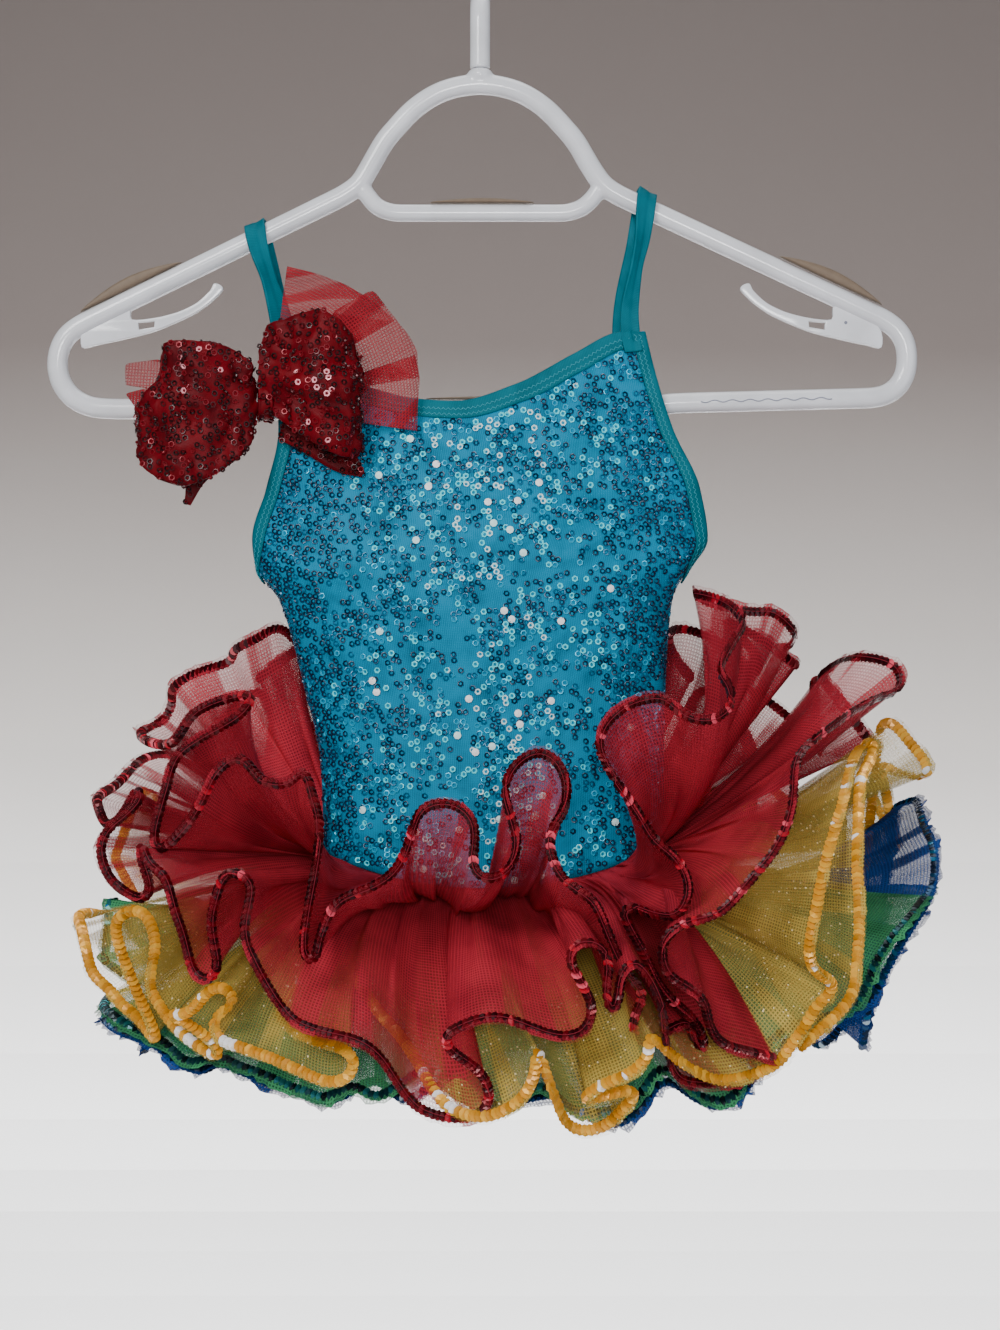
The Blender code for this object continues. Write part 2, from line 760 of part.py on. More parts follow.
def plate(name, outlines, half, material, collection):
    """A flat plate in an upright plane facing the front, from its outline and those of its holes."""
    curve = bpy.data.curves.new(name, "CURVE")
    curve.dimensions = "2D"
    curve.fill_mode = "BOTH"
    curve.extrude = half * MM
    for outline in outlines:
        spline = curve.splines.new("POLY")
        spline.points.add(len(outline) - 1)
        for place, (x, z) in zip(spline.points, outline):
            place.co = (x * MM, z * MM, 0.0, 1.0)
        spline.use_cyclic_u = True
    curve.materials.append(material)
    made = bpy.data.objects.new(name, curve)
    made.rotation_euler = (math.radians(90), 0, 0)
    collection.objects.link(made)
    return made


def as_mesh(curve_object, collection):
    """The curve as a mesh object of the same name, its caps welded on."""
    bpy.context.view_layer.update()
    graph = bpy.context.evaluated_depsgraph_get()
    mesh = bpy.data.meshes.new_from_object(curve_object.evaluated_get(graph))
    welder = bmesh.new()
    welder.from_mesh(mesh)
    bmesh.ops.remove_doubles(welder, verts=welder.verts, dist=1e-6)
    welder.to_mesh(mesh)
    welder.free()
    name = curve_object.name
    matrix = curve_object.matrix_world.copy()
    bpy.data.objects.remove(curve_object, do_unlink=True)
    made = bpy.data.objects.new(name, mesh)
    made.matrix_world = matrix
    collection.objects.link(made)
    return made


def helper(curve_object):
    """A curve made a mesh that only Booleans use."""
    made = as_mesh(curve_object, HELPERS)
    made.hide_render = True
    made.display_type = "WIRE"
    return made


def blade_outlines(mirror, shift):
    """Outline and slot of a blade hook, as on the left or mirrored."""
    return [[(point.x * mirror + shift, point.z) for point in line] for line in (BLADE_LINE, SLOT_LINE)]


def build_frame(plastic):
    """Arch, arms and bottom bar as one round tube, joined with the handle bar, the collar and two blades."""
    line = [Vector((point.x, 0, point.z)) for point in FRAME_LINE]
    frame = as_mesh(tube("hanger_frame", line, FRAME_TUBE, plastic, COSTUME, closed=True), COSTUME)
    frame.data.shade_smooth()
    handle = [Vector((point.x, 0, point.z)) for point in HANDLE_LINE]
    collar = [Vector((0, 0, COLLAR_FOOT)), Vector((0, 0, COLLAR_TOP))]
    pieces = [
        tube("handle_bar", handle, HANDLE_TUBE, plastic, HELPERS),
        tube("collar", collar, COLLAR_TUBE, plastic, HELPERS),
        plate("blade_left", blade_outlines(1, 0), BLADE_HALF, plastic, HELPERS),
        plate("blade_right", blade_outlines(-1, BLADE_SHIFT_RIGHT), BLADE_HALF, plastic, HELPERS),
    ]
    for piece in pieces:
        joined = frame.modifiers.new("Join " + piece.name, "BOOLEAN")
        joined.operation = "UNION"
        joined.solver = "EXACT"
        joined.object = helper(piece)


def build_hook(plastic):
    centre = Vector((0, 0, HOOK_TUBE - HOOK_RADIUS))
    reach = HOOK_RADIUS + FILLET_RADIUS
    turn = math.radians(FILLET_END)
    bend = centre + Vector((0, reach * math.cos(turn), -reach * math.sin(turn)))
    points = [Vector((0, 0, HOOK_FOOT))]
    for i in range(5):
        at = math.radians(180 - FILLET_END * i / 4)
        points.append(bend + Vector((0, math.cos(at), math.sin(at))) * FILLET_RADIUS)
    steps = 20
    for i in range(1, steps + 1):
        at = math.radians(-FILLET_END + (HOOK_TIP + FILLET_END) * i / steps)
        points.append(centre + Vector((0, math.cos(at), math.sin(at))) * HOOK_RADIUS)
    tube("hook", points, HOOK_TUBE, plastic, COSTUME)


def build_grips(rubber):
    """Each grip is a long low lens, flat underneath."""
    for name, grip in GRIPS.items():
        run, rise = grip.to_x - grip.from_x, grip.to_z - grip.from_z
        length = math.hypot(run, rise)
        under = [(grip.from_x, grip.from_z), (grip.to_x, grip.to_z)]
        over = []
        for i in range(GRIP_STEPS, -1, -1):
            along = i / GRIP_STEPS
            high = GRIP_THIN + (grip.thick - GRIP_THIN) * math.sin(math.pi * along)
            x = grip.from_x + run * along - rise / length * high
            over.append((x, grip.from_z + rise * along + run / length * high))
        plate(name, [under + over], GRIP_HALF, rubber, COSTUME)


# The bow, as it shows on the middle plane. Loops: place, top and bottom edge, depths of front and back.
LoopPoint = namedtuple("LoopPoint", "x top bottom front back")
LOOPS = {
    "bow_loop_left": [
        LoopPoint(-108.5, -225, -243, -26, -19.5),
        LoopPoint(-113, -214, -258, -31, -18),
        LoopPoint(-122, -208.5, -266, -35.5, -17.5),
        LoopPoint(-132.5, -206, -272.5, -37, -17.5),
        LoopPoint(-145, -205.5, -275.5, -36, -17.5),
        LoopPoint(-155, -207, -272, -33.5, -18.5),
        LoopPoint(-162, -214, -264, -29.5, -21),
        LoopPoint(-165, -221, -257, -25, -25),
    ],
    "bow_loop_right": [
        LoopPoint(-98, -222, -240, -26, -19.5),
        LoopPoint(-94, -198, -244.5, -32, -19),
        LoopPoint(-84.4, -192, -252, -37, -19.5),
        LoopPoint(-74.7, -193, -257, -39, -20),
        LoopPoint(-66, -199, -255, -38, -21),
        LoopPoint(-60.5, -207, -248, -34, -23.5),
        LoopPoint(-57.8, -214, -241, -28.5, -28.5),
    ],
}
LOOP_ROWS = 4
LOOP_SWELL_FRONT = -1.5
LOOP_SWELL_BACK = 0.45
KNOT_FROM, KNOT_TO = -107.0, -99.6
KNOT_Y, KNOT_Z = -23.2, -233.5
KNOT_DEEP, KNOT_TALL = 8.0, 11.0
KNOT_WAIST = 0.1
KNOT_STEPS = 3
KNOT_SIDES = 16

# Tails: centre of the strip, its width and its depth.
TailPoint = namedtuple("TailPoint", "x z width y")
TAILS = {
    "bow_tail_left": [
        TailPoint(-111, -247, 8, -15.6),
        TailPoint(-124, -258, 12, -15.4),
        TailPoint(-136, -271, 9, -15.4),
        TailPoint(-141, -284.5, 3, -16.0),
    ],
    "bow_tail_right": [
        TailPoint(-96, -248, 10, -15.2),
        TailPoint(-80, -253, 16, -15.6),
        TailPoint(-66, -263, 13, -16.4),
        TailPoint(-56.5, -270, 3, -18.0),
    ],
}

# The pleated net: folds of its outer edge, clockwise, and where each of them starts behind the knot.
NetPoint = namedtuple("NetPoint", "x z y start_x start_z start_y")
NETS = {
    "bow_net_fan": [
        NetPoint(-94.5, -169.5, -14.0, -100.6, -226, -13.7),
        NetPoint(-87, -171, -16.0, -100.4, -227, -13.7),
        NetPoint(-79.5, -172.4, -14.0, -100.2, -228, -13.7),
        NetPoint(-70, -178, -16.5, -100, -229, -13.7),
        NetPoint(-61.7, -184.5, -14.5, -99.8, -230, -13.7),
        NetPoint(-56.5, -181, -18.0, -99.6, -231, -13.7),
        NetPoint(-51, -180.6, -16.5, -99.4, -232, -13.7),
        NetPoint(-45, -187, -20.0, -99.2, -233, -13.7),
        NetPoint(-40, -195, -19.5, -99, -234, -13.7),
        NetPoint(-34, -203, -22.0, -98.8, -235, -13.7),
        NetPoint(-30, -211, -21.5, -98.6, -236, -13.7),
        NetPoint(-29, -222, -24.0, -98.4, -237, -13.7),
        NetPoint(-30, -233, -23.0, -98.2, -238, -13.7),
        NetPoint(-30.4, -249.5, -23.4, -98, -239, -13.7),
    ],
    "bow_net_scrap": [
        NetPoint(-170, -236, -14.4, -112, -240, -15.2),
        NetPoint(-171, -226, -15.4, -112, -235, -15.2),
        NetPoint(-170, -216, -14.4, -112, -230, -15.2),
        NetPoint(-158, -213, -15.4, -112, -225, -15.2),
    ],
}
NET_ROWS = (0.0, 0.5, 1.0)


def build_bow(satin, net):
    for name, stations in LOOPS.items():
        rows = []
        for r in range(LOOP_ROWS + 1):
            up = r / LOOP_ROWS
            row = []
            for part, swell in (("front", LOOP_SWELL_FRONT), ("back", LOOP_SWELL_BACK)):
                ordered = stations if part == "front" else stations[-2::-1]
                for point in ordered:
                    z = point.bottom + (point.top - point.bottom) * up
                    row.append(placed(point.x, z, getattr(point, part) + swell * math.sin(math.pi * up)))
            rows.append(row)
        add_sheet(name, rows, BOW_CLOTH, satin)
    rows = []
    for i in range(KNOT_STEPS + 1):
        x = KNOT_FROM + (KNOT_TO - KNOT_FROM) * i / KNOT_STEPS
        waist = 1 - KNOT_WAIST * math.sin(math.pi * i / KNOT_STEPS)
        row = []
        for k in range(KNOT_SIDES):
            at = math.radians(360 * k / KNOT_SIDES)
            z = KNOT_Z + KNOT_TALL * waist * math.sin(at)
            row.append(placed(x, z, KNOT_Y + KNOT_DEEP * waist * math.cos(at)))
        rows.append(row)
    add_sheet("bow_knot", rows, BOW_CLOTH, satin, ring=True)
    for name, points in TAILS.items():
        rows = [[], [], []]
        for i, point in enumerate(points):
            before, after = points[max(i - 1, 0)], points[min(i + 1, len(points) - 1)]
            along = Vector((after.x - before.x, after.z - before.z)).normalized()
            for row, part in zip(rows, (-1, 0, 1)):
                step = point.width / 2 * part
                row.append(placed(point.x - along.y * step, point.z + along.x * step, point.y))
        add_sheet(name, rows, BOW_CLOTH, satin)
    for name, points in NETS.items():
        rows = []
        for along in NET_ROWS:
            row = []
            for point in points:
                x = point.start_x + (point.x - point.start_x) * along
                z = point.start_z + (point.z - point.start_z) * along
                row.append(placed(x, z, point.start_y + (point.y - point.start_y) * along))
            rows.append(row)
        add_sheet(name, rows, NET_CLOTH, net)


COSTUME = bpy.data.collections.new("tutu_costume")
HELPERS = bpy.data.collections.new("hanger_pieces")


def main():
    clear_scene()
    bpy.context.scene.collection.children.link(COSTUME)
    bpy.context.scene.collection.children.link(HELPERS)
    HELPERS.hide_render = True
    knit = plain_material("sequinned knit", "0E95AC", 0.4)
    plain = plain_material("stretch knit", "0A8299", 0.6)
    build_leotard(knit, plain)
    build_neck_bindings(plain)
    build_armhole_bindings(plain)
    build_leg_bindings(plain)
    build_straps(plain)
    build_ruffles(
        {
            "ruffle_red_upper": plain_material("red organza", "B01C24", 0.5),
            "ruffle_red_lower": plain_material("red organza lower", "9C1820", 0.5),
            "ruffle_yellow": plain_material("gold organza", "D9A83C", 0.5),
            "ruffle_green": plain_material("green net", "4E8A50", 0.6),
            "ruffle_blue": plain_material("blue net", "20406E", 0.6),
        }
    )
    plastic = plain_material("white plastic", "E4E6EC", 0.25)
    build_frame(plastic)
    build_hook(plastic)
    build_grips(plain_material("tan rubber", "7B6A5A", 0.7))
    build_bow(plain_material("red sequinned satin", "8E1420", 0.4), plain_material("red net", "B84040", 0.6))


main()
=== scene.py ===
"""A child's tutu costume on a plastic hanger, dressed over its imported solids.

Lengths in the tables and in the functions are millimetres, and a mesh is scaled to metres as it is made. The
ruffles' edges are given in pixels of a 1000 by 1330 frame, seen from the front.
"""

import math
from collections import namedtuple

import bmesh
import bpy
import numpy as np
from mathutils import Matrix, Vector, noise


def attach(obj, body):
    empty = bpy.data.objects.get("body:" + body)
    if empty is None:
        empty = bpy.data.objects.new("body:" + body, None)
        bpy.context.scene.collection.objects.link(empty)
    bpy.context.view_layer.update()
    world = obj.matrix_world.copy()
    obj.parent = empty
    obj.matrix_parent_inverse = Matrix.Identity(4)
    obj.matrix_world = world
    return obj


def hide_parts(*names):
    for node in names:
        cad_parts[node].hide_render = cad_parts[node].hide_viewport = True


bl_info = {
    "name": "Tutu costume on a hanger",
    "version": (1, 0, 0),
    "blender": (4, 5, 0),
    "location": "3D View > Sidebar > Tutu costume",
    "description": "Builds a sequinned tutu costume, its bow and the hanger that holds it",
    "category": "Object",
}

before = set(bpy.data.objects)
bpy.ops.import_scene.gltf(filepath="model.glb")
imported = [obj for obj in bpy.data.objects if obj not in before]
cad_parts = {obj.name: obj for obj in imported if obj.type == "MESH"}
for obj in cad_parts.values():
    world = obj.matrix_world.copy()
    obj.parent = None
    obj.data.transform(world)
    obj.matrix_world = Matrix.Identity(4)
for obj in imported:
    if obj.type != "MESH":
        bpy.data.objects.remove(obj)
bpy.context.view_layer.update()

MM = 0.001


def rows_of(kind, rows):
    """A table's rows with their columns named."""
    return [kind(*row) for row in rows]


# The frame of the front view: its scale on the middle plane and the camera's place.
PIXEL = 0.482
MIDDLE_PX = 480.0
TOP_Z = 41.32
VIEW_DISTANCE = 1300.0
VIEW_X = 9.6
VIEW_Z = -361.8
FRAME_WIDTH = 482.0
SENSOR = 36.0

# The stage, in metres and watts: the floor and wall from the side, and the lights. The wall's colour runs
# from white at its foot to grey-taupe at its top: painted light low on it and painted shade towards its top.
WALL_PROFILE = [
    (-2.0, -1.35), (0.8, -1.35), (1.3, -1.24), (1.6, -1.04), (1.73, -0.7), (1.75, 0.3), (1.75, 2.4),
]
WALL_HALF = 3.2
WALL_TONE_STEP = 0.744
WALL_TONE_START = 0.907
WALL_FOOT = "FFFFFF"
WALL_TOP = "7E7470"
SKY = "E4E6EA"
Lamp = namedtuple("Lamp", "name place power size code")
LAMPS = [
    Lamp("key", (-0.7, -1.5, 0.5), 20.0, 0.6, "FFFFFF"),
    Lamp("fill", (1.2, -1.3, -0.2), 6.0, 1.1, "F2F4FF"),
    Lamp("front", (0.05, -1.9, -0.2), 12.0, 0.35, "FFFFFF"),
    Lamp("top", (0.1, 0.2, 0.75), 5.0, 0.7, "FFFFFF"),
]
GLOW = Lamp("backdrop_glow", (0, 1.0, -1.28), 54.0, 2.6, "FFFFFF")
GLOW_HEIGHT = 0.3
GLOW_TILT = 125
SKY_STRENGTH = 0.2

# The leotard: height, side edges, depth of front and back, how far its open edge is from the middle plane and
# how round its side is.
Section = namedtuple("Section", "z left right front back rim roll")
SECTIONS = rows_of(Section, [
    (-190, -101, 76, 11, 11, 9.0, 0.0), (-220, -98, 83, 13, 12, 8.8, 0.0),
    (-249, -96, 92, 17, 15, 8.0, 0.0), (-278, -102, 105, 21, 18, 6.0, 0.1),
    (-301, -108, 108, 25, 21, 3.4, 0.5), (-316, -106, 99, 26, 22, 0.55, 1.0),
    (-331, -96, 92, 26, 22, 0.55, 1.0), (-369, -85, 89, 25, 23, 0.55, 1.0),
    (-412, -76, 88, 28, 27, 0.55, 1.0), (-450, -75, 89, 30, 31, 0.55, 1.0),
    (-470, -76, 89, 30, 32, 0.55, 1.0), (-505, -75, 87, 25, 28, 0.55, 1.0),
    (-530, -74, 85, 14, 17, 0.55, 1.0), (-545, -73, 83, 1.6, 2.0, 0.55, 1.0),
])
UNDERARM_Z = -316
ROUNDNESS = 2.4

# Neck edges: place across the leotard, from -1 at the left to 1 at the right, and height. After them come the
# skirt seam and the leg edges.
NeckPoint = namedtuple("NeckPoint", "across z")
NECK_FRONT = rows_of(NeckPoint, [
    (-1.0, -212), (-0.86, -219), (-0.56, -229), (-0.27, -236), (-0.08, -237), (0.25, -229), (0.6, -214),
    (0.86, -203.5), (1.0, -202),
])
NECK_BACK = rows_of(NeckPoint, [
    (-1.0, -221), (-0.82, -226), (-0.5, -252), (0.0, -266), (0.5, -246), (0.82, -214), (1.0, -208),
])
SEAM_SIDE_Z = -449
SEAM_TILT = 2.0
SEAM_DIP_FRONT = 18.0
SEAM_DIP_BACK = 12.0
LEG_SIDE_Z = -500
CROTCH_Z = -545
CROTCH_HALF = 0.24
LEG_CURVE = 0.62
HALF_SEAM = 0.15
KNIT = 1.0
ROOT_OUT = 1.65

# The bodice's sequins: how much of it they cover, and the larger white discs down its middle that paint
# glints.
COVER_MEAN = 0.7
COVER_PATCHES = 0.8
COVER_SIDES = 0.6
COVER_LEAST = 0.32
PATCH_SCALE = 0.055
GRAIN_SCALE = 0.14
SIDE_FROM = 0.55
SIDE_REACH = 0.4
SEQUINS_MOST = 420000.0
GLINT_SPACING = 5.0
GLINTS_MOST = 2300.0
GLINTS_BELOW = -248.0
GLINTS_WIDE = 52
GLINT_LIFT = 0.6
BARE_TOP = 9
BARE_FOOT = 2
BODICE_MIDDLE = 8.0

# Ruffles: drop of the root below the skirt seam, cut width, how much narrower at the middle of the front, the
# lift of the cloth where it leaves the seam at the left and the right, and of the back's crests and valleys.
Ruffle = namedtuple("Ruffle", "drop width front_less lift_left lift_right back_crest back_valley")
RUFFLES = {
    "ruffle_red_upper": Ruffle(0, 122, 0, 30, 44, 68, 46),
    "ruffle_red_lower": Ruffle(6, 133, 0, 6, 24, 42, 22),
    "ruffle_yellow": Ruffle(12, 134, 0, -14, 4, 18, 2),
    "ruffle_green": Ruffle(18, 135, 9, -32, -16, -4, -18),
    "ruffle_blue": Ruffle(24, 136, 19, -48, -34, -24, -38),
}

# The line of each ruffle's sequin string, from the back of the left round the front to the back of the right.
# A point that is behind lies on the back half of the cloth. Columns as in EdgePoint.
EdgePoint = namedtuple("EdgePoint", "px py behind", defaults=[0])
EDGES = {
    "ruffle_red_upper": [
        (300, 646, 1), (279, 628, 1), (254, 640, 1), (234, 650, 1), (231, 661, 1), (208, 669, 1),
        (187, 677, 1), (172, 689, 1), (172, 703, 1), (163, 720, 1), (141, 732, 0.6), (150, 742, 0.3),
        (173, 742), (194, 713), (228, 698), (252, 696), (238, 716), (200, 738), (180, 752), (171, 768),
        (167, 784), (160, 808), (154, 832), (156, 848), (168, 845), (189, 821), (202, 800), (212, 778),
        (224, 764), (238, 757), (250, 766), (260, 779), (276, 784), (290, 782), (299, 771), (307, 776),
        (313, 797), (319, 820), (318, 847), (313, 880), (307, 912), (303, 945), (307, 961), (315, 959),
        (319, 940), (328, 915), (340, 900), (358, 892), (377, 884), (392, 873), (404, 855), (413, 827),
        (420, 811), (433, 804), (448, 803), (464, 810), (474, 824), (475, 842), (473, 860), (477, 874),
        (490, 879), (504, 873), (514, 860), (517, 840), (512, 820), (506, 800), (505, 785), (512, 769),
        (525, 757), (540, 752), (554, 759), (564, 774), (567, 793), (562, 814), (552, 828), (550, 844),
        (554, 862), (564, 879), (580, 891), (594, 902), (603, 920), (612, 942), (624, 967), (637, 985),
        (643, 996), (637, 1010), (633, 1026), (639, 1042), (650, 1041), (668, 1030), (687, 1022),
        (692, 1034), (699, 1048), (704, 1046), (700, 1031), (688, 1014), (671, 999), (657, 981),
        (645, 956), (634, 936), (623, 914), (630, 906), (648, 913), (672, 917), (684, 907), (689, 889),
        (684, 870), (671, 853), (655, 840), (638, 812), (621, 788), (607, 767), (599, 746), (603, 729),
        (614, 715), (630, 704), (650, 698), (664, 698), (674, 706), (686, 715), (700, 720), (714, 719),
        (725, 712), (732, 701), (729, 686), (721, 674), (723, 660), (734, 640), (743, 624),
        (739, 614, 0.2), (728, 604, 0.4), (712, 597, 0.6), (692, 593, 0.9), (712, 604, 1), (736, 609, 1),
        (755, 612, 1), (770, 611, 1), (783, 619, 1), (795, 634, 1), (789, 646, 1), (772, 648, 1),
    ],
    "ruffle_red_lower": [
        (205, 770, 1), (171, 755, 1), (147, 757, 1), (132, 768, 0.8), (117, 784, 0.5), (99, 796, 0.2),
        (98, 806), (106, 824), (118, 820), (128, 806), (137, 789), (141, 797), (128, 812), (110, 827),
        (101, 843), (102, 860), (110, 878), (124, 891), (143, 899), (150, 886), (142, 862), (141, 842),
        (148, 862), (164, 876), (170, 893), (175, 912), (182, 931), (187, 950), (191, 966), (198, 977),
        (208, 980), (215, 974), (217, 960), (213, 940), (211, 920), (215, 900), (221, 881), (229, 872),
        (241, 875), (251, 885), (248, 905), (244, 927), (247, 946), (255, 963), (264, 980), (277, 1001),
        (292, 1019), (307, 1027), (327, 1033), (350, 1038), (366, 1045), (380, 1057), (393, 1076),
        (405, 1094), (419, 1108), (440, 1116), (464, 1118), (482, 1112), (489, 1096), (483, 1076),
        (466, 1061), (449, 1049), (446, 1035), (459, 1027), (479, 1019), (499, 1017), (520, 1023),
        (540, 1031), (560, 1036), (580, 1033), (590, 1021), (591, 1003), (581, 982), (571, 963),
        (573, 948), (586, 942), (601, 947), (609, 964), (607, 984), (607, 1003), (613, 1012), (618, 1000),
        (622, 975), (634, 962), (650, 980), (662, 1008), (664, 1029), (667, 1047), (671, 1065),
        (679, 1078), (692, 1082), (713, 1083), (736, 1079), (756, 1073), (775, 1066), (778, 1060),
        (770, 1057), (750, 1052), (728, 1046), (715, 1036), (708, 1020), (705, 1005), (697, 994),
        (684, 985), (672, 978), (664, 966), (662, 949), (669, 934), (684, 924), (706, 918), (722, 911),
        (738, 895), (758, 871), (773, 853), (785, 830), (792, 807), (794, 787), (795, 768), (801, 752),
        (817, 737), (836, 723), (853, 711), (875, 699, 0.1), (896, 691, 0.3), (901, 680, 0.5),
        (897, 668, 0.7), (882, 660, 0.9), (859, 657, 1), (840, 661, 1), (820, 676, 1),
    ],
    "ruffle_yellow": [
        (140, 905, 1), (105, 912, 0.8), (80, 915, 0.4), (82, 930, 0.1), (87, 953), (93, 974), (109, 989),
        (119, 1002), (131, 1012), (142, 1022), (150, 1034), (157, 1041), (150, 1022), (137, 992),
        (126, 965), (117, 938), (116, 921), (127, 912), (140, 911), (149, 920), (154, 935), (155, 950),
        (151, 970), (150, 988), (158, 1003), (168, 1018), (181, 1033), (195, 1044), (208, 1052),
        (220, 1056), (210, 1040), (185, 1022), (170, 1014), (182, 1015), (195, 1007), (203, 997),
        (212, 989), (222, 987), (231, 993), (233, 1003), (223, 1011), (215, 1019), (214, 1031),
        (223, 1042), (238, 1046), (254, 1052), (269, 1057), (287, 1065), (305, 1073), (323, 1081),
        (340, 1081), (351, 1073), (354, 1060, 0.05), (345, 1050, 0.12), (328, 1044, 0.18),
        (309, 1038, 0.22), (291, 1028, 0.26), (281, 1015, 0.3), (284, 1003, 0.33), (295, 990, 0.36),
        (306, 974, 0.38), (322, 958, 0.4), (340, 958, 0.4), (352, 974, 0.38), (366, 994, 0.35),
        (381, 1015, 0.33), (397, 1032, 0.29), (415, 1058, 0.25), (432, 1088, 0.2), (450, 1108, 0.14),
        (480, 1117, 0.06), (505, 1110), (524, 1096), (535, 1072), (537, 1048), (545, 1070), (556, 1100),
        (566, 1122), (584, 1131), (606, 1125), (622, 1110), (634, 1097), (630, 1090), (606, 1095),
        (582, 1100), (600, 1086), (632, 1072), (648, 1055), (650, 1035), (664, 1048), (690, 1068),
        (720, 1080), (755, 1074), (781, 1060), (790, 1046), (801, 1032), (810, 1017), (817, 1005),
        (828, 996), (833, 984), (826, 978), (814, 969), (809, 952), (812, 930), (817, 906), (821, 882),
        (828, 853), (834, 832), (842, 805), (846, 787), (851, 766), (858, 750), (867, 743), (874, 746),
        (869, 762), (861, 778), (859, 798), (858, 830), (857, 865), (859, 900), (859, 935), (857, 960),
        (855, 984), (849, 1000), (840, 1011), (827, 1024), (814, 1034), (800, 1047), (812, 1020, 0.2),
        (846, 960, 0.5), (862, 880, 0.7), (872, 800, 0.8), (879, 735, 0.7), (886, 723, 0.6),
        (896, 726, 0.6), (906, 738, 0.6), (917, 751, 0.7), (926, 763, 0.7), (926, 776, 0.8), (905, 775, 1),
        (880, 765, 1),
    ],
    "ruffle_green": [
        (140, 985, 1), (112, 995, 0.7), (104, 1007, 0.3), (112, 1015), (123, 1023), (138, 1031),
        (152, 1036), (166, 1044), (176, 1055), (190, 1063), (205, 1060), (222, 1058), (238, 1066),
        (256, 1072), (273, 1079), (290, 1087), (306, 1092), (322, 1098), (338, 1093), (354, 1086),
        (376, 1097), (400, 1085), (430, 1070), (470, 1098), (505, 1106), (540, 1086), (575, 1112),
        (605, 1112), (626, 1105), (643, 1092), (662, 1068), (690, 1090), (710, 1100), (733, 1097),
        (755, 1060), (785, 1030), (815, 1020), (842, 1013), (858, 1001), (868, 985), (875, 965),
        (887, 946), (898, 931), (910, 918), (921, 903, 0.1), (930, 890, 0.3), (912, 886, 0.6),
        (888, 889, 0.8), (868, 894, 1),
    ],
    "ruffle_blue": [
        (150, 1000, 1), (118, 1010, 0.6), (105, 1018, 0.3), (118, 1030), (138, 1038), (158, 1046),
        (172, 1060), (187, 1067), (204, 1071), (218, 1062), (238, 1070), (262, 1080), (280, 1087),
        (300, 1093), (322, 1101), (345, 1095), (375, 1080), (405, 1100), (440, 1085), (480, 1108),
        (520, 1100), (560, 1095), (590, 1118), (612, 1124), (630, 1118), (643, 1105), (665, 1080),
        (695, 1098), (716, 1106), (738, 1098), (770, 1055), (800, 1035), (835, 1018), (862, 1006),
        (878, 988), (886, 970), (906, 935), (925, 905, 0.1), (933, 884, 0.2), (935, 862, 0.3),
        (932, 842, 0.4), (925, 828, 0.6), (920, 812, 0.8), (915, 800, 1), (895, 806, 1),
    ],
}

# The ruffles' edges between those points and round the back.
EDGE_STEPS = 6
STEEPEST = 85.0
HALVINGS = 16
POOLED_SHARE = 0.62
ROOT_SPREAD = 9
DEPTH_SPREAD = 5
LINE_SPREAD = 2.2
BACK_FOLDS = 8
BACK_POINTS = 220
BACK_UNEVEN = 0.35
BACK_SWING = 9

# The ruffles' cloth: steps along it and rows down it, gathers and soft folds, and its frayed edge.
COLUMN_STEP = 2.8
ORGANZA = 0.5
TRIM_INSET = 4.0
RUFFLE_ROWS = (0, 0.03, 0.07, 0.12, 0.18, 0.26, 0.35, 0.45, 0.55, 0.65, 0.75, 0.84, 0.92, 1.0)
GATHERS_PER_MM = 0.17
HEADING = 4.6
FRONT_TUCK = {"ruffle_green": 0.15, "ruffle_blue": 0.19}
FRONT_START = -48.0
START_SHARE = 0.6
START_REACH = 0.45
PUCKER = 1.8
CLOSENESS = 1.25
FOLD_LENGTH = 34.0
FOLD_DEPTH = 4.2
FOLD_RISE = 0.42
RAW_EDGE = 0.35

# The sequin strings.
SEQUIN_PITCH = 2.5
SEQUIN_LIFT = 0.15
STRING_LEAN = 0.55
STRING_TILT = 0.16
STRING_TO_FRONT = 0.8
STRING_TURNS_AT = 25.0
STRING_TURNING = 0.06
STRING_MARGIN = 1.5
STRING_UP = 0.15
THREAD_LIFT = 1.5
THREAD_RADIUS = 0.2

# Straps: centre of the strip, how far its width is turned from the X axis and tipped up to the right, in
# degrees, and its width. They go over the hanger's arms, from the front to the back.
StrapPoint = namedtuple("StrapPoint", "x y z turn tip width")
STRAPS = {
    "strap_left": rows_of(StrapPoint, [
        (-91, -11.4, -224, 4, 0, 9.0), (-93, -9.6, -214, 8, 0, 9.5), (-95, -9.2, -197, 20, 0, 11),
        (-100.5, -9.2, -178, 42, 0, 9.5), (-105.5, -8.6, -163, 22, 8, 9.5), (-108, -7.4, -152.5, 0, 22, 10),
        (-108.6, 0, -148.6, 0, 26, 10), (-106.8, 7.4, -152.5, 0, 22, 10), (-103.5, 8.8, -165, -10, 8, 10),
        (-98, 9.4, -186, -24, 0, 9.5), (-93, 9.2, -207, -10, 0, 9.5), (-91.5, 9.6, -224, -4, 0, 9),
    ]),
    "strap_right": rows_of(StrapPoint, [
        (73.5, -12.6, -212, 3, 0, 8.6), (72, -10.4, -203, 0, 0, 9.0), (72, -9.3, -190, 10, 0, 8.6),
        (75, -9.0, -172, 38, 0, 7.6), (78, -8.6, -157, 30, -8, 8.6), (80, -7.8, -138.8, 4, -25, 9.5),
        (81, 0, -133.4, 0, -25, 9.5), (79, 7.8, -138.8, 0, -25, 9.5), (75.5, 8.8, -160, -12, -8, 9.5),
        (70.5, 9.2, -182, -26, 0, 9.5), (69, 9.3, -198, -10, 0, 9.5), (69, 9.6, -213, -2, 0, 9.5),
    ]),
}

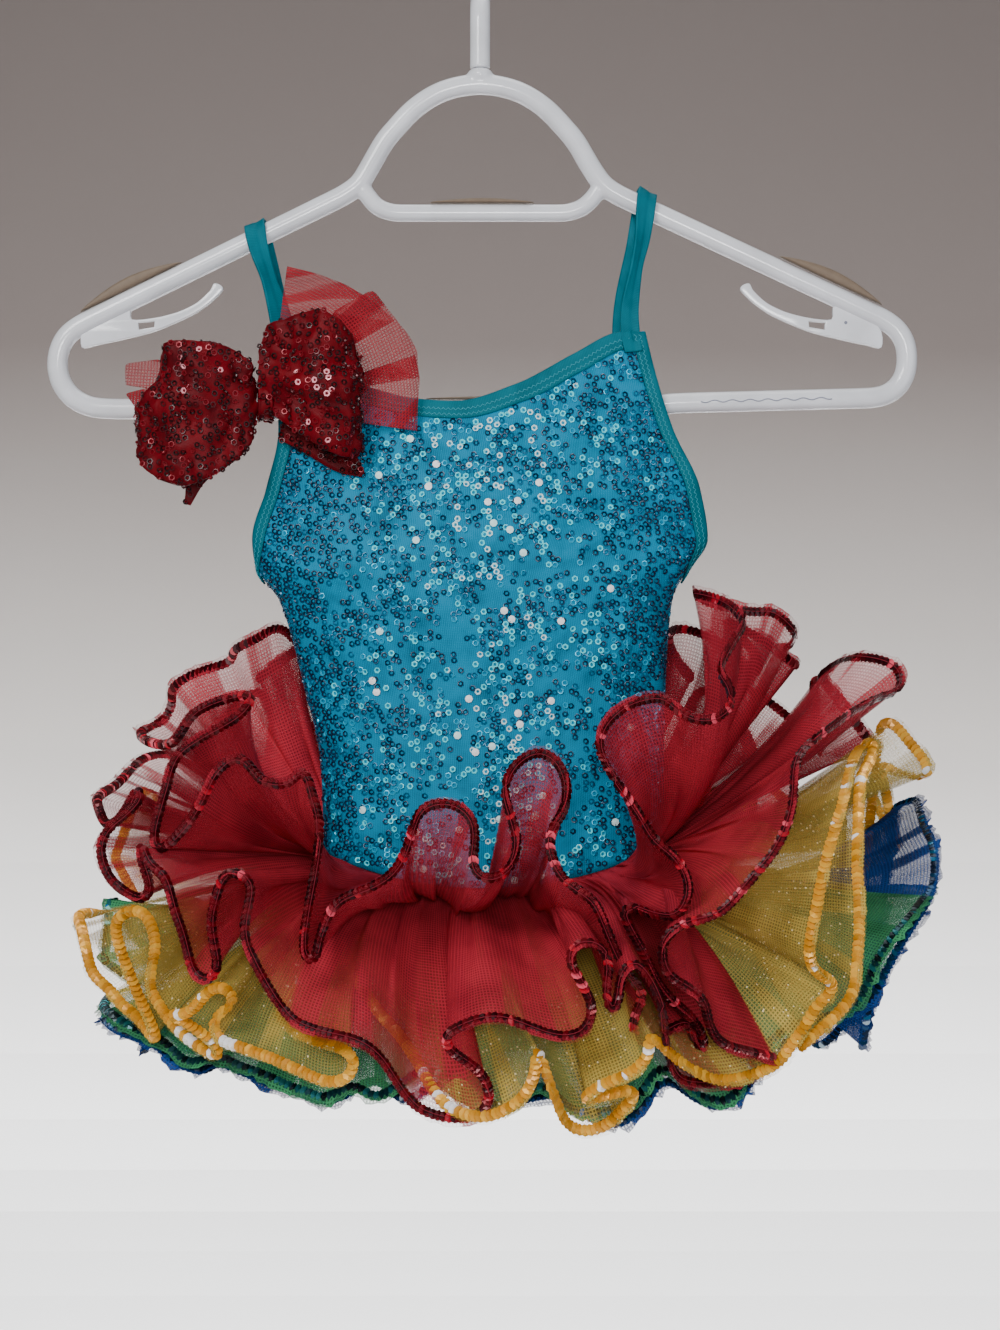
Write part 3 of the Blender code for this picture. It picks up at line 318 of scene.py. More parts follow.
# Straps, bindings and their stitches.
STRAP_THICK = 1.3
STRAP_ARCH = 0.5
STRAP_FOLD = 0.45
NECK_REACH = 0.93
NECK_HALF = 92
NECK_BAND = 7.5
ARMHOLE_BAND = 6.5
TURN_FROM = 0.7
LEG_BAND = 7.0
BAND_CLOTH = 0.8
OUTER_ROW = 6
STITCH_LENGTH = 1.9
STITCH_THICK = 0.34
STITCH_TILT = 0.05
STITCH_MARGIN = 2.0
STITCH_PITCH = 0.62
STITCH_LIFT = 0.1
STITCH_ZIGZAG = 0.85
STITCH_ROWS = (0.38, 0.72)

# The hanger's centre lines, clockwise as seen from the front.
TubePoint = namedtuple("TubePoint", "x z")
TUBE_SIDES = 24
VOXEL = 0.85
FRAME_SPREAD = 3.2
HANDLE_SPREAD = 2.4
FRAME_TUBE = 5.0
FRAME_LINE = rows_of(TubePoint, [
    (0, -81.8), (10, -82.8), (19.3, -85.6), (27, -90), (33.7, -95.3), (45.8, -108.8), (53, -121.5),
    (59, -130.6), (66, -135.2), (195.2, -195.5), (201, -199.7), (205, -206), (206, -213.9), (205.2, -221.5),
    (201.5, -228), (196, -231.8), (190, -233.1), (95, -235.6), (52, -239.2), (-60, -239.2),
    (-178.3, -238.4), (-188.5, -237.6), (-197, -233), (-202.2, -226), (-204.1, -217.7), (-203, -209.5),
    (-199.2, -202.6), (-192.8, -198), (-66, -135.7), (-58, -130.4), (-53, -121.5), (-45.8, -108.8),
    (-33.7, -95.3), (-27, -90), (-19.3, -85.6), (-10, -82.8),
])
HANDLE_TUBE = 4.2
HANDLE_LINE = rows_of(TubePoint, [
    (-57, -131.5), (-53, -137.5), (-49, -141.8), (-42, -144), (42, -144), (49, -141.8), (54, -137.5),
    (58, -131.5),
])
COLLAR_TUBE = 6.2
COLLAR_SWELL = (0.62, 0.82, 0.94, 0.99, 1.0, 0.99, 0.95, 0.86, 0.7)
COLLAR_TOP = -74.4
COLLAR_FOOT = -81.0
HOOK_TUBE = 4.8
HOOK_RADIUS = 23.5
HOOK_FOOT = COLLAR_TOP + 0.3
FILLET_RADIUS = 12.0
FILLET_END = 70.2
HOOK_TIP = 200.0
HOOK_RINGS = 150

# The bottom bar's wavy groove at the right, and the mould mark on the right hook under the arm, drawn as thin
# grey tubes that paint the shade in them.
GROOVE_FROM = 106.0
GROOVE_TO = 169.0
GROOVE_Z = -238.1
GROOVE_RISE = 0.0263
GROOVE_WAVE = 0.5
GROOVE_PITCH = 8.5
MARK_X = 176.0
MARK_Z = -197.0
GROOVE_RADIUS = 0.3
MARK_RADIUS = 0.8

# The hooks under the arms for thin straps, seen from the front: outline and slot of the left one.
BLADE_HALF = 2.0
BLADE_BEVEL = 0.5
BLADE_LINE = rows_of(TubePoint, [
    (-128.2, -178.2), (-125.3, -178.7), (-123.9, -181.1), (-130.1, -187.4), (-139.3, -193.6),
    (-156.2, -200.9), (-170.6, -204.7), (-184.1, -207.6), (-191.8, -208.8), (-190.0, -198.5),
    (-169.7, -188.8), (-167.7, -195.4), (-156.2, -194.6), (-145.1, -191.7), (-136.4, -187.4),
    (-130.1, -181.6),
])
SLOT_LINE = rows_of(TubePoint, [
    (-164.8, -196.9), (-156.6, -196.2), (-156.9, -199.1), (-164.3, -200.4),
])
BLADE_SHIFT_RIGHT = 1.5

# Soft pads: from where to where they lie on the hanger, and how high they stand.
Grip = namedtuple("Grip", "from_x from_z to_x to_z thick")
GRIPS = {
    "grip_left": Grip(-192.5, -191.9, -143.6, -167.9, 5.2),
    "grip_right": Grip(144.1, -165.1, 193.5, -188.4, 5.2),
    "grip_handle": Grip(-24, -139.3, 26, -139.3, 2.3),
    "grip_bar": Grip(-26, -233.8, 40, -233.8, 1.4),
}
GRIP_HALF = 3.4

# The bow as it shows from the front. Loops: place, top and bottom edge, depths of front and back.
LoopPoint = namedtuple("LoopPoint", "x top bottom front back")
LOOPS = {
    "bow_loop_left": rows_of(LoopPoint, [
        (-108.5, -225, -243, -26, -19.5), (-113, -214, -258, -31, -18), (-122, -208.5, -266, -35.5, -17.5),
        (-132.5, -206, -272.5, -37, -17.5), (-145, -205.5, -275.5, -36, -17.5),
        (-151.5, -207, -273.5, -34.5, -18), (-155, -221, -272, -33, -18.5),
        (-159, -229, -268.5, -31, -19.5), (-163, -234, -263, -28.5, -21.5), (-166, -239, -255, -25, -25),
    ]),
    "bow_loop_right": rows_of(LoopPoint, [
        (-105, -209, -233, -27, -21), (-101, -198, -240, -30, -20), (-94, -195, -245.5, -34, -19),
        (-84.4, -191.5, -252, -37, -19.5), (-78, -190, -256, -39, -20), (-71, -194, -259.5, -38, -20.5),
        (-64, -200, -261.5, -35.5, -22), (-59.5, -208, -261, -32, -24.5), (-57.4, -213, -258, -28.5, -28.5),
    ]),
}
BOW_CLOTH = 0.9
PLEATS = 13
PLEAT_DEPTH = 1.8
PLEATS_MEET = 6
PLEATS_FULL = 22
LOOP_BULGE = {"front": -1.5, "back": 0.45}
BOW_MEASURED = 15
KNOT_STRIP = 10
SHEET_LEAST = 10
BOW_SPACING = 2.3
BOW_MOST = 150000.0
NET = 0.3
KNOT_FROM, KNOT_TO = -107.0, -99.6
KNOT_Y, KNOT_Z = -23.2, -233.5
KNOT_DEEP, KNOT_TALL = 8.0, 11.0

# Tails: centre, width and depth. Nets: each fold's outer end, and its start behind the knot.
TailPoint = namedtuple("TailPoint", "x z width y")
TAILS = {
    "bow_tail_left": rows_of(TailPoint, [
        (-111, -247, 8, -15.6), (-124, -258, 12, -15.4), (-136, -271, 9, -15.4), (-141, -284.5, 3, -16.0),
    ]),
    "bow_tail_right": rows_of(TailPoint, [
        (-96, -248, 10, -15.2), (-80, -253, 16, -15.6), (-66, -263, 13, -16.4), (-56.5, -270, 3, -18.0),
    ]),
}
NetPoint = namedtuple("NetPoint", "x z y start_x start_z start_y")
NETS = {
    "bow_net_fan": rows_of(NetPoint, [
        (-93.5, -169.5, -14.2, -100.6, -226, -13.7), (-79, -173.0, -14.8, -100.4, -227, -13.7),
        (-65.1, -178.2, -14.6, -100.2, -228, -13.7), (-52, -186.0, -15.0, -100, -229, -13.8),
        (-40, -196.5, -15.4, -99.8, -230, -13.8), (-72.3, -192.2, -17.0, -99.9, -229.6, -14.2),
        (-51.6, -180.6, -18.4, -99.8, -230.2, -14.6), (-40, -195.9, -19.0, -99.4, -231.6, -14.6),
        (-34, -203.2, -18.4, -99.2, -233, -14.6), (-30.4, -210.5, -19.2, -99, -234, -14.7),
        (-29.4, -224, -19.8, -98.8, -235, -14.7), (-31.4, -211.5, -21.4, -98.7, -235.4, -15.0),
        (-29, -223.4, -22.8, -98.6, -236, -15.2), (-30, -236, -22.0, -98.3, -237.5, -15.2),
        (-30.4, -249.5, -23.0, -98, -239, -15.2),
    ]),
    "bow_net_scrap": rows_of(NetPoint, [
        (-166, -238, -15.4, -112, -240, -15.2), (-171, -231, -14.8, -112, -237, -15.0),
        (-160, -228, -15.8, -112, -236, -15.4), (-171, -227, -16.4, -112, -235, -15.8),
        (-171, -216.5, -15.4, -112, -230, -15.4), (-155, -214.5, -15.0, -112, -225, -15.2),
    ]),
}
NET_STEPS = 8
NET_MEASURED = 20


def linear(channel):
    """One sRGB channel, 0 to 1, as linear light."""
    return channel / 12.92 if channel <= 0.04045 else ((channel + 0.055) / 1.055) ** 2.4


def colour(code):
    """An sRGB hex code as linear RGB."""
    return tuple(linear(int(code[i : i + 2], 16) / 255) for i in (0, 2, 4))


def smooth_table(keys, values, at):
    """A smooth function through table values, by cubic pieces with no overshoot."""
    keys = np.asarray(keys, float)
    values = np.asarray(values, float)
    order = np.argsort(keys)
    keys, values = keys[order], values[order]
    slopes = np.diff(values) / np.diff(keys)
    total = slopes[:-1] + slopes[1:]
    product = slopes[:-1] * slopes[1:]
    inner = np.where(product > 0, 2 * product / np.where(product > 0, total, 1), 0.0)
    tangents = np.concatenate([slopes[:1], inner, slopes[-1:]])
    at = np.clip(at, keys[0], keys[-1])
    place = np.clip(np.searchsorted(keys, at, side="right") - 1, 0, len(keys) - 2)
    span = keys[place + 1] - keys[place]
    t = (at - keys[place]) / span
    start, end = tangents[place] * span, tangents[place + 1] * span
    low, high = values[place], values[place + 1]
    return (
        (2 * t**3 - 3 * t**2 + 1) * low
        + (t**3 - 2 * t**2 + t) * start
        + (3 * t**2 - 2 * t**3) * high
        + (t**3 - t**2) * end
    )


def section_at(name, z):
    """A column of the leotard's table at these heights."""
    return smooth_table([row.z for row in SECTIONS], [getattr(row, name) for row in SECTIONS], z)


def neck_at(neck, across):
    """Height of a neck edge."""
    return smooth_table([row.across for row in neck], [row.z for row in neck], across)


def smooth_step(value):
    """From 0 to 1, level at both ends."""
    value = np.clip(value, 0.0, 1.0)
    return value * value * (3 - 2 * value)


def across_of(angle):
    """Place across a panel, -1 to 1, of an angle measured from the middle of its own side."""
    sine = np.sin(np.radians(angle))
    return np.sign(sine) * np.abs(sine) ** (2 / ROUNDNESS)


def on_side(across, z, side):
    """A point of the leotard's middle surface. side is -1 for the front and 1 for the back."""
    across, z, side = np.broadcast_arrays(np.asarray(across, float), z, side)
    left, right, rim, roll = (section_at(name, z) for name in ("left", "right", "rim", "roll"))
    depth = np.where(side < 0, section_at("front", z), section_at("back", z))
    flat = 1 - across * across
    rounded = np.maximum(1 - np.abs(across) ** ROUNDNESS, 0.0) ** (1 / ROUNDNESS)
    swell = flat + (rounded - flat) * roll
    x = (left + right) / 2 + (right - left) / 2 * across
    return np.stack([x, side * (rim + (depth - rim) * swell), z], axis=-1)


def unit(vectors):
    """The vectors at length 1."""
    return vectors / np.maximum(np.linalg.norm(vectors, axis=-1, keepdims=True), 1e-9)


def moved_out(across, z, side, out):
    """The point of on_side, moved out from the cloth by out."""
    across, z, side = np.broadcast_arrays(np.asarray(across, float), z, side)
    step = 0.012
    right, left = np.minimum(across + step, 1), np.maximum(across - step, -1)
    sideways = on_side(right, z, side) - on_side(left, z, side)
    upright = on_side(across, z + 1, side) - on_side(across, z - 1, side)
    normal = unit(np.cross(sideways, upright)) * -side[..., None]
    return on_side(across, z, side) + normal * np.asarray(out)[..., None]


def seam_z(across, side):
    """Height of the skirt seam."""
    dip = np.where(np.asarray(side) < 0, SEAM_DIP_FRONT, SEAM_DIP_BACK)
    return SEAM_SIDE_Z + SEAM_TILT * across - dip * (1 - across * across)


def leg_z(across):
    """Height of the brief's lower edge."""
    along = np.maximum(np.abs(across) - CROTCH_HALF, 0.0) / (1 - CROTCH_HALF)
    return CROTCH_Z + (LEG_SIDE_Z - CROTCH_Z) * along**LEG_CURVE


def placed(x, z, y):
    """The point at depth y that shows at x and z on the middle plane."""
    nearer = 1 + np.asarray(y, float) / VIEW_DISTANCE
    x = VIEW_X + (x - VIEW_X) * nearer
    z = VIEW_Z + (z - VIEW_Z) * nearer
    return np.stack(np.broadcast_arrays(x, y, z), axis=-1)


def through(points, steps):
    """A smooth open curve through the points, with this many steps between neighbours."""
    points = np.asarray(points, float)
    padded = np.concatenate([2 * points[:1] - points[1:2], points, 2 * points[-1:] - points[-2:-1]])
    t = (np.arange(steps) / steps)[:, None, None]
    a, b, c, d = padded[:-3], padded[1:-2], padded[2:-1], padded[3:]
    square, cube = 2 * a - 5 * b + 4 * c - d, 3 * b - a - 3 * c + d
    curve = 0.5 * (2 * b + (c - a) * t + square * t**2 + cube * t**3)
    return np.concatenate([curve.transpose(1, 0, 2).reshape(-1, points.shape[1]), points[-1:]])


def lengths_along(points):
    """Distance along a line of points, from its start."""
    return np.concatenate([[0.0], np.cumsum(np.linalg.norm(np.diff(points, axis=0), axis=1))])


def at_places(line, run, even):
    """A line's values at these places along it, where run is the place of each of its own."""
    return np.stack([np.interp(even, run, line[:, i]) for i in range(line.shape[1])], -1)


def evened(line, count, closed=False):
    """The line with this many points in steps of equal length."""
    run = lengths_along(line)
    return at_places(line, run, np.linspace(0, run[-1], count, endpoint=not closed))


def blurred(values, spread):
    """Values along a line, each averaged with its neighbours over this many places."""
    reach = int(3 * spread) + 1
    weights = np.exp(-0.5 * (np.arange(-reach, reach + 1) / spread) ** 2)
    weights /= weights.sum()
    values = np.asarray(values, float)
    flat = values.reshape(len(values), -1)
    ends = np.concatenate([np.repeat(flat[:1], reach, 0), flat, np.repeat(flat[-1:], reach, 0)])
    done = np.stack([np.convolve(ends[:, i], weights, "valid") for i in range(flat.shape[1])], axis=1)
    return done.reshape(values.shape)


def grid_normals(grid):
    """Unit normals of a grid of points, on the side from which its rows run down and its columns left."""
    return unit(np.cross(np.gradient(grid, axis=1), np.gradient(grid, axis=0)))


def faced(mesh, merge=0.0):
    """The mesh with its faces turned outwards, and with points nearer than this merged."""
    turner = bmesh.new()
    turner.from_mesh(mesh)
    if merge:
        bmesh.ops.remove_doubles(turner, verts=turner.verts, dist=merge)
    bmesh.ops.recalc_face_normals(turner, faces=turner.faces)
    turner.to_mesh(mesh)
    turner.free()
    return mesh


def link(name, mesh, material=None):
    """A mesh as an object of the scene."""
    if material:
        mesh.materials.append(material)
    made = bpy.data.objects.new(name, mesh)
    bpy.context.scene.collection.objects.link(made)
    return made


def evaluated(holder):
    """An object's mesh after its modifiers. The object goes."""
    bpy.context.view_layer.update()
    graph = bpy.context.evaluated_depsgraph_get()
    mesh = bpy.data.meshes.new_from_object(holder.evaluated_get(graph))
    bpy.data.objects.remove(holder, do_unlink=True)
    return mesh


def quads_of(index):
    """Four-cornered faces between the rows and columns of a grid of point numbers."""
    return np.stack([index[:-1, :-1], index[:-1, 1:], index[1:, 1:], index[1:, :-1]], -1).reshape(-1, 4)


def keep(mesh, name, kind, key, values):
    """Stores a value for each point of the mesh."""
    mesh.attributes.new(name, kind, "POINT").data.foreach_set(key, np.asarray(values, np.float32).ravel())


def shell(name, grid, thickness, material, flat=None, gathered=None):
    """A closed thin wall of cloth round a grid of points.

    Its UV map holds the place in the flat cloth in metres, its attribute how closely the cloth is gathered.
    """
    grid = np.asarray(grid, float)
    rows, columns = grid.shape[:2]
    normal = grid_normals(grid)
    faces = (grid + normal * thickness / 2, grid - normal * thickness / 2)
    points = np.concatenate([face.reshape(-1, 3) for face in faces])
    index = np.arange(rows * columns).reshape(rows, columns)
    inner = index + rows * columns
    quads = [quads_of(index), quads_of(inner)[:, [0, 3, 2, 1]]]
    quads.append(np.stack([index[0, 1:], index[0, :-1], inner[0, :-1], inner[0, 1:]], -1))
    quads.append(np.stack([index[-1, :-1], index[-1, 1:], inner[-1, 1:], inner[-1, :-1]], -1))
    quads.append(np.stack([index[:-1, 0], index[1:, 0], inner[1:, 0], inner[:-1, 0]], -1))
    quads.append(np.stack([index[1:, -1], index[:-1, -1], inner[:-1, -1], inner[1:, -1]], -1))
    mesh = bpy.data.meshes.new(name)
    mesh.from_pydata((points * MM).tolist(), [], np.concatenate(quads).tolist())
    if flat is None:
        along = np.cumsum(np.linalg.norm(np.diff(grid, axis=1, prepend=grid[:, :1]), axis=2), axis=1)
        down = np.cumsum(np.linalg.norm(np.diff(grid, axis=0, prepend=grid[:1]), axis=2), axis=0)
        flat = np.stack([along - along[:, columns // 2, None], down], -1)
    flat = np.tile(flat.reshape(-1, 2) * MM, (2, 1))
    corner = np.empty(len(mesh.loops), np.int32)
    mesh.loops.foreach_get("vertex_index", corner)
    cloth = mesh.uv_layers.new(name="cloth")
    cloth.uv.foreach_set("vector", flat[corner].ravel())
    if gathered is not None:
        keep(mesh, "gathered", "FLOAT", "value", np.tile(gathered.ravel(), 2))
    mesh.shade_smooth()
    return link(name, mesh, material)


def rings_mesh(name, bodies, closed=False):
    """One mesh of closed bodies, each given as rings of points from one end to the other."""
    points, faces = [], []
    first = 0
    for rings in bodies:
        count, sides = rings.shape[:2]
        points.append(rings.reshape(-1, 3))
        index = first + np.arange(count * sides).reshape(count, sides)
        ends = (index[0], index[-1])
        after = np.roll(index, -1, 1)
        below, below_after = (np.roll(part, -1, 0) for part in (index, after))
        if not closed:
            index, after, below, below_after = (part[:-1] for part in (index, after, below, below_after))
            faces += [ends[0][::-1].tolist(), ends[1].tolist()]
        faces += np.stack([index, after, below_after, below], -1).reshape(-1, 4).tolist()
        first += count * sides
    mesh = bpy.data.meshes.new(name)
    mesh.from_pydata((np.concatenate(points) * MM).tolist(), [], faces)
    faced(mesh).shade_smooth()
    return mesh


def tube(line, radius, sides, closed=False):
    """Rings of points round a line, turned as little as possible from one to the next."""
    line = np.asarray(line, float)
    ahead = np.roll(line, -1, 0) - line if closed else np.gradient(line, axis=0)
    back = line - np.roll(line, 1, 0) if closed else ahead
    along = unit(unit(ahead) + unit(back))
    radius = np.broadcast_to(radius, len(line))
    normal = np.zeros_like(line)
    guide = np.array([0.0, 1.0, 0.0]) if abs(along[0][1]) < 0.8 else np.array([1.0, 0.0, 0.0])
    for i, ahead in enumerate(along):
        guide = guide - ahead * guide.dot(ahead)
        guide /= np.linalg.norm(guide)
        normal[i] = guide
    across = np.cross(along, normal)
    turn = 2 * np.pi * np.arange(sides) / sides
    ring = normal[:, None] * np.cos(turn)[None, :, None] + across[:, None] * np.sin(turn)[None, :, None]
    return line[:, None] + ring * radius[:, None, None]


def fill(tree, made, inputs):
    """Sets or links a node's inputs, by name or by number."""
    for name, value in inputs.items():
        if isinstance(value, bpy.types.NodeSocket):
            tree.links.new(value, made.inputs[name])
        elif value is not None:
            made.inputs[name].default_value = value


def node(tree, kind, inputs=None, **settings):
    """Adds a node, sets its properties, and sets or links its inputs."""
    made = tree.nodes.new(kind)
    for name, value in settings.items():
        setattr(made, name, value)
    fill(tree, made, inputs or {})
    return made


def material(name):
    """An empty material: its node tree and its shader."""
    made = bpy.data.materials.new(name)
    made.use_nodes = True
    return made, made.node_tree, made.node_tree.nodes["Principled BSDF"]


def ramp(tree, factor, stops, kind="LINEAR"):
    """A colour ramp from stops: a place, and a hex code or a colour."""
    made = node(tree, "ShaderNodeValToRGB", {"Fac": factor})
    made.color_ramp.interpolation = kind
    stop = made.color_ramp.elements
    while len(stop) < len(stops):
        stop.new(0.5)
    for element, (place, tone) in zip(stop, stops):
        element.position = place
        element.color = (*(colour(tone) if isinstance(tone, str) else tone), 1.0)
    return made.outputs["Color"]


def cloth_map(tree, along, down=None):
    """The place in the flat cloth, in repeats of a pattern: so many a metre along it and down it."""
    where = node(tree, "ShaderNodeUVMap", uv_map="cloth")
    scale = (along, down or along, along)
    return node(tree, "ShaderNodeMapping", {"Vector": where.outputs[0], "Scale": scale}).outputs[0]


def stripes(tree, vector, direction):
    """Threads one repeat apart, 0 to 1."""
    inputs = {"Vector": vector, "Scale": math.pi / 10}
    return node(tree, "ShaderNodeTexWave", inputs, bands_direction=direction).outputs["Fac"]


def clouds(tree, vector, detail, scale=1.0):
    """Soft noise, 0 to 1."""
    inputs = {"Vector": vector, "Scale": scale, "Detail": detail}
    return node(tree, "ShaderNodeTexNoise", inputs).outputs["Fac"]


def place_of(tree):
    """The place on the object, in metres."""
    return node(tree, "ShaderNodeTexCoord").outputs["Object"]


def bumps(tree, height, strength, distance, below=None):
    """The normal of a surface raised by this height, on top of the one below."""
    inputs = {"Height": height, "Strength": strength, "Distance": distance, "Normal": below}
    return node(tree, "ShaderNodeBump", inputs).outputs[0]


def maths(tree, operation, first, second=0.0, third=None):
    """One sum on numbers or sockets."""
    return node(tree, "ShaderNodeMath", {0: first, 1: second, 2: third}, operation=operation).outputs[0]


# Plastic: how dark its darker places are. Knit: how much taller than wide a stitch is.
PLASTIC_SHADE = 0.93
COURSE = 1.3

# Organza: repeats a metre, along and down the cloth, of uneven colour, creases, doubled places and specks;
# the mean of its threads; and what creases, doubled places, threads and gathers add to its cover and tone.
# In its tone the creases are painted shade, the gathers partly painted shade and partly the deeper colour of
# layered cloth, and the pale specks are glitter threads with a painted sparkle.
CLOUDS = (35.0,)
CREASES = (80.0, 11.0)
DOUBLES = (52.0, 7.0)
SPECKS = (420.0,)
SPECK_WIDE = 0.17
SPECK_RARE = 0.62
THREAD_MEAN = 0.6
Share = namedtuple("Share", "crease doubled threads gathered", defaults=[0.0, 0.0])
COVER_BY = Share(0.25, 0.36)
TONE_AND_SHADE_BY = Share(-0.4, -0.14, 0.45, -0.12)
COVER_SINGLE = -0.14


def knit_material(name, dark, light, wale, roughness=0.55):
    """Stretch knit: fine upright ribs this far apart with a satin face, a little uneven in colour."""
    made, tree, shader = material(name)
    rib = stripes(tree, cloth_map(tree, 1 / (wale * MM)), "X")
    course = stripes(tree, cloth_map(tree, 1 / (wale * COURSE * MM)), "Y")
    face = maths(tree, "MULTIPLY_ADD", rib, 0.25, clouds(tree, cloth_map(tree, 60.0), 3.0))
    inputs = {
        "Base Color": ramp(tree, face, [(0.3, dark), (0.75, light)]),
        "Normal": bumps(tree, maths(tree, "ADD", rib, course), 0.25, 0.0001),
        "Roughness": roughness,
        "Specular IOR Level": 0.08,
    }
    fill(tree, shader, inputs)
    return made


def organza_material(name, dark, light, thin, dense, thread=1.2, glitter_glint=None, open_weave=0.35):
    """Sheer woven organza: crossing threads with open gaps, closer where it is gathered and darker there,
    partly as layered cloth and partly by painted shade; its creases carry painted shade, its glitter a
    painted sparkle.

    thin and dense are how much one flat layer and gathered cloth cover, from 0 to 1.
    """
    made, tree, shader = material(name)
    weave = cloth_map(tree, 1 / (thread * MM))
    threads = maths(tree, "MAXIMUM", stripes(tree, weave, "X"), stripes(tree, weave, "Y"))
    gathered = node(tree, "ShaderNodeAttribute", attribute_name="gathered").outputs["Fac"]
    cloud = clouds(tree, cloth_map(tree, *CLOUDS), 2.0)
    crease = maths(tree, "SUBTRACT", clouds(tree, cloth_map(tree, *CREASES), 4.0), 0.5)
    patch = clouds(tree, cloth_map(tree, *DOUBLES), 1.0)
    doubled = node(tree, "ShaderNodeMapRange", {"Value": patch, "From Min": 0.53, "From Max": 0.56})
    doubled = doubled.outputs["Result"]
    cover = maths(tree, "MULTIPLY_ADD", gathered, dense - thin, thin)
    cover = maths(tree, "MULTIPLY_ADD", maths(tree, "SUBTRACT", threads, THREAD_MEAN), open_weave, cover)
    cover = maths(tree, "MULTIPLY_ADD", crease, COVER_BY.crease, cover)
    flat = maths(tree, "SUBTRACT", 1.0, gathered)
    share = maths(tree, "MULTIPLY_ADD", doubled, COVER_BY.doubled, COVER_SINGLE)
    cover = maths(tree, "MULTIPLY_ADD", share, flat, cover)
    # Painted shade: the tone is darker along the creases.
    tone = maths(tree, "MULTIPLY_ADD", crease, TONE_AND_SHADE_BY.crease, cloud)
    tone = maths(tree, "MULTIPLY_ADD", doubled, TONE_AND_SHADE_BY.doubled, tone)
    tone = maths(tree, "MULTIPLY_ADD", maths(tree, "SUBTRACT", threads, THREAD_MEAN), TONE_AND_SHADE_BY.threads, tone)
    # Darker where gathered: partly the colour of layered cloth, partly painted shade between the gathers.
    tone = maths(tree, "MULTIPLY_ADD", gathered, TONE_AND_SHADE_BY.gathered, tone)
    shade = ramp(tree, tone, [(0.1, dark), (0.65, light)])
    # Glitter specks painted pale: glitter threads with their sparkle painted in.
    if glitter_glint:
        speck = node(tree, "ShaderNodeTexVoronoi", {"Vector": cloth_map(tree, *SPECKS), "Scale": 1.0})
        shine = maths(tree, "LESS_THAN", speck.outputs["Distance"], SPECK_WIDE)
        lucky = maths(tree, "GREATER_THAN", speck.outputs["Color"], SPECK_RARE)
        shine = maths(tree, "MULTIPLY", shine, lucky)
        inputs = {"Factor": shine, "A": shade, "B": (*colour(glitter_glint), 1.0)}
        shade = node(tree, "ShaderNodeMix", inputs, data_type="RGBA").outputs["Result"]
        cover = maths(tree, "MAXIMUM", cover, shine)
    inputs = {
        "Base Color": shade,
        "Alpha": node(tree, "ShaderNodeClamp", {"Value": cover, "Min": 0.08, "Max": 0.97}).outputs[0],
        "Normal": bumps(tree, threads, 0.15, 0.0002, bumps(tree, crease, 0.35, 0.002)),
        "Roughness": 0.7,
        "Specular IOR Level": 0.05,
    }
    fill(tree, shader, inputs)
    return made


def sequin_material(name, stops, roughness, foil, glint_patches, band=0.0):
    """Sequins: shiny film of their own colour, whose tint from one to the next paints their reflection, by
    the tint each one carries.

    Painted highlights make them brighter in patches, and the lightest are painted glints instead of
    mirror-like.
    A band paints them brighter down the middle of the costume and darker towards its sides, as painted
    highlight and painted shade.
    """
    made, tree, shader = material(name)
    tint = node(tree, "ShaderNodeAttribute", attribute_name="tint").outputs["Fac"]
    where = place_of(tree)
    # Painted highlight: noise over the object brightens the tints in patches.
    patch = maths(tree, "SUBTRACT", clouds(tree, where, 2.0, 28.0), 0.5)
    tint = maths(tree, "MULTIPLY_ADD", patch, glint_patches, tint)
    # Painted highlight down the middle and painted shade towards the sides, by the distance from the middle.
    if band:
        side = node(tree, "ShaderNodeSeparateXYZ", {"Vector": where}).outputs["X"]
        side = maths(tree, "ABSOLUTE", maths(tree, "SUBTRACT", side, BODICE_MIDDLE * MM))
        tint = maths(tree, "ADD", maths(tree, "MULTIPLY_ADD", side, -4.0 * band, 0.14 * band), tint)
    inputs = {
        "Base Color": ramp(tree, tint, stops, "CONSTANT"),
        # The two lightest tints are painted bright reflections and glints, so they are not metallic.
        "Metallic": maths(tree, "MULTIPLY", maths(tree, "LESS_THAN", tint, stops[-2][0]), foil),
        "Roughness": roughness,
    }
    fill(tree, shader, inputs)
    return made


def plastic_material(name, code, roughness, grain):
    """Moulded plastic: smooth with a faint unevenness."""
    made, tree, shader = material(name)
    cloud = clouds(tree, place_of(tree), 3.0, grain)
    darker = tuple(linear(int(int(code[i : i + 2], 16) * PLASTIC_SHADE) / 255) for i in (0, 2, 4))
    inputs = {
        "Base Color": ramp(tree, cloud, [(0.3, darker), (0.7, code)]),
        "Normal": bumps(tree, cloud, 0.08, 0.0005),
        "Roughness": roughness,
    }
    fill(tree, shader, inputs)
    return made


def ring_mesh(name, outer, hole, thick, cup, sides=6):
    """One cupped sequin with a hole, as a ring with a three-cornered section."""
    points, faces = [], []
    for i in range(sides):
        turn = 2 * math.pi * i / sides
        for radius, height in ((outer, cup), (hole, 0.0), ((outer + hole) / 2, cup / 2 + thick)):
            points.append((radius * math.cos(turn), radius * math.sin(turn), height))
    for i in range(sides):
        after = (i + 1) % sides
        for k in range(3):
            other = (k + 1) % 3
            faces.append((i * 3 + k, i * 3 + other, after * 3 + other, after * 3 + k))
    return small_mesh(name, points, faces)


def disc_mesh(name, radius, thick, dome, sides=8):
    """One round sequin, slightly domed."""
    points = []
    for high in (-thick / 2, thick / 2):
        for turn in (2 * math.pi * i / sides for i in range(sides)):
            points.append((radius * math.cos(turn), radius * math.sin(turn), high))
    points.append((0.0, 0.0, thick / 2 + dome))
    faces = [tuple(range(sides))[::-1]]
    for i in range(sides):
        after = (i + 1) % sides
        faces.append((i, after, sides + after, sides + i))
        faces.append((sides + i, sides + after, 2 * sides))
    return small_mesh(name, points, faces)


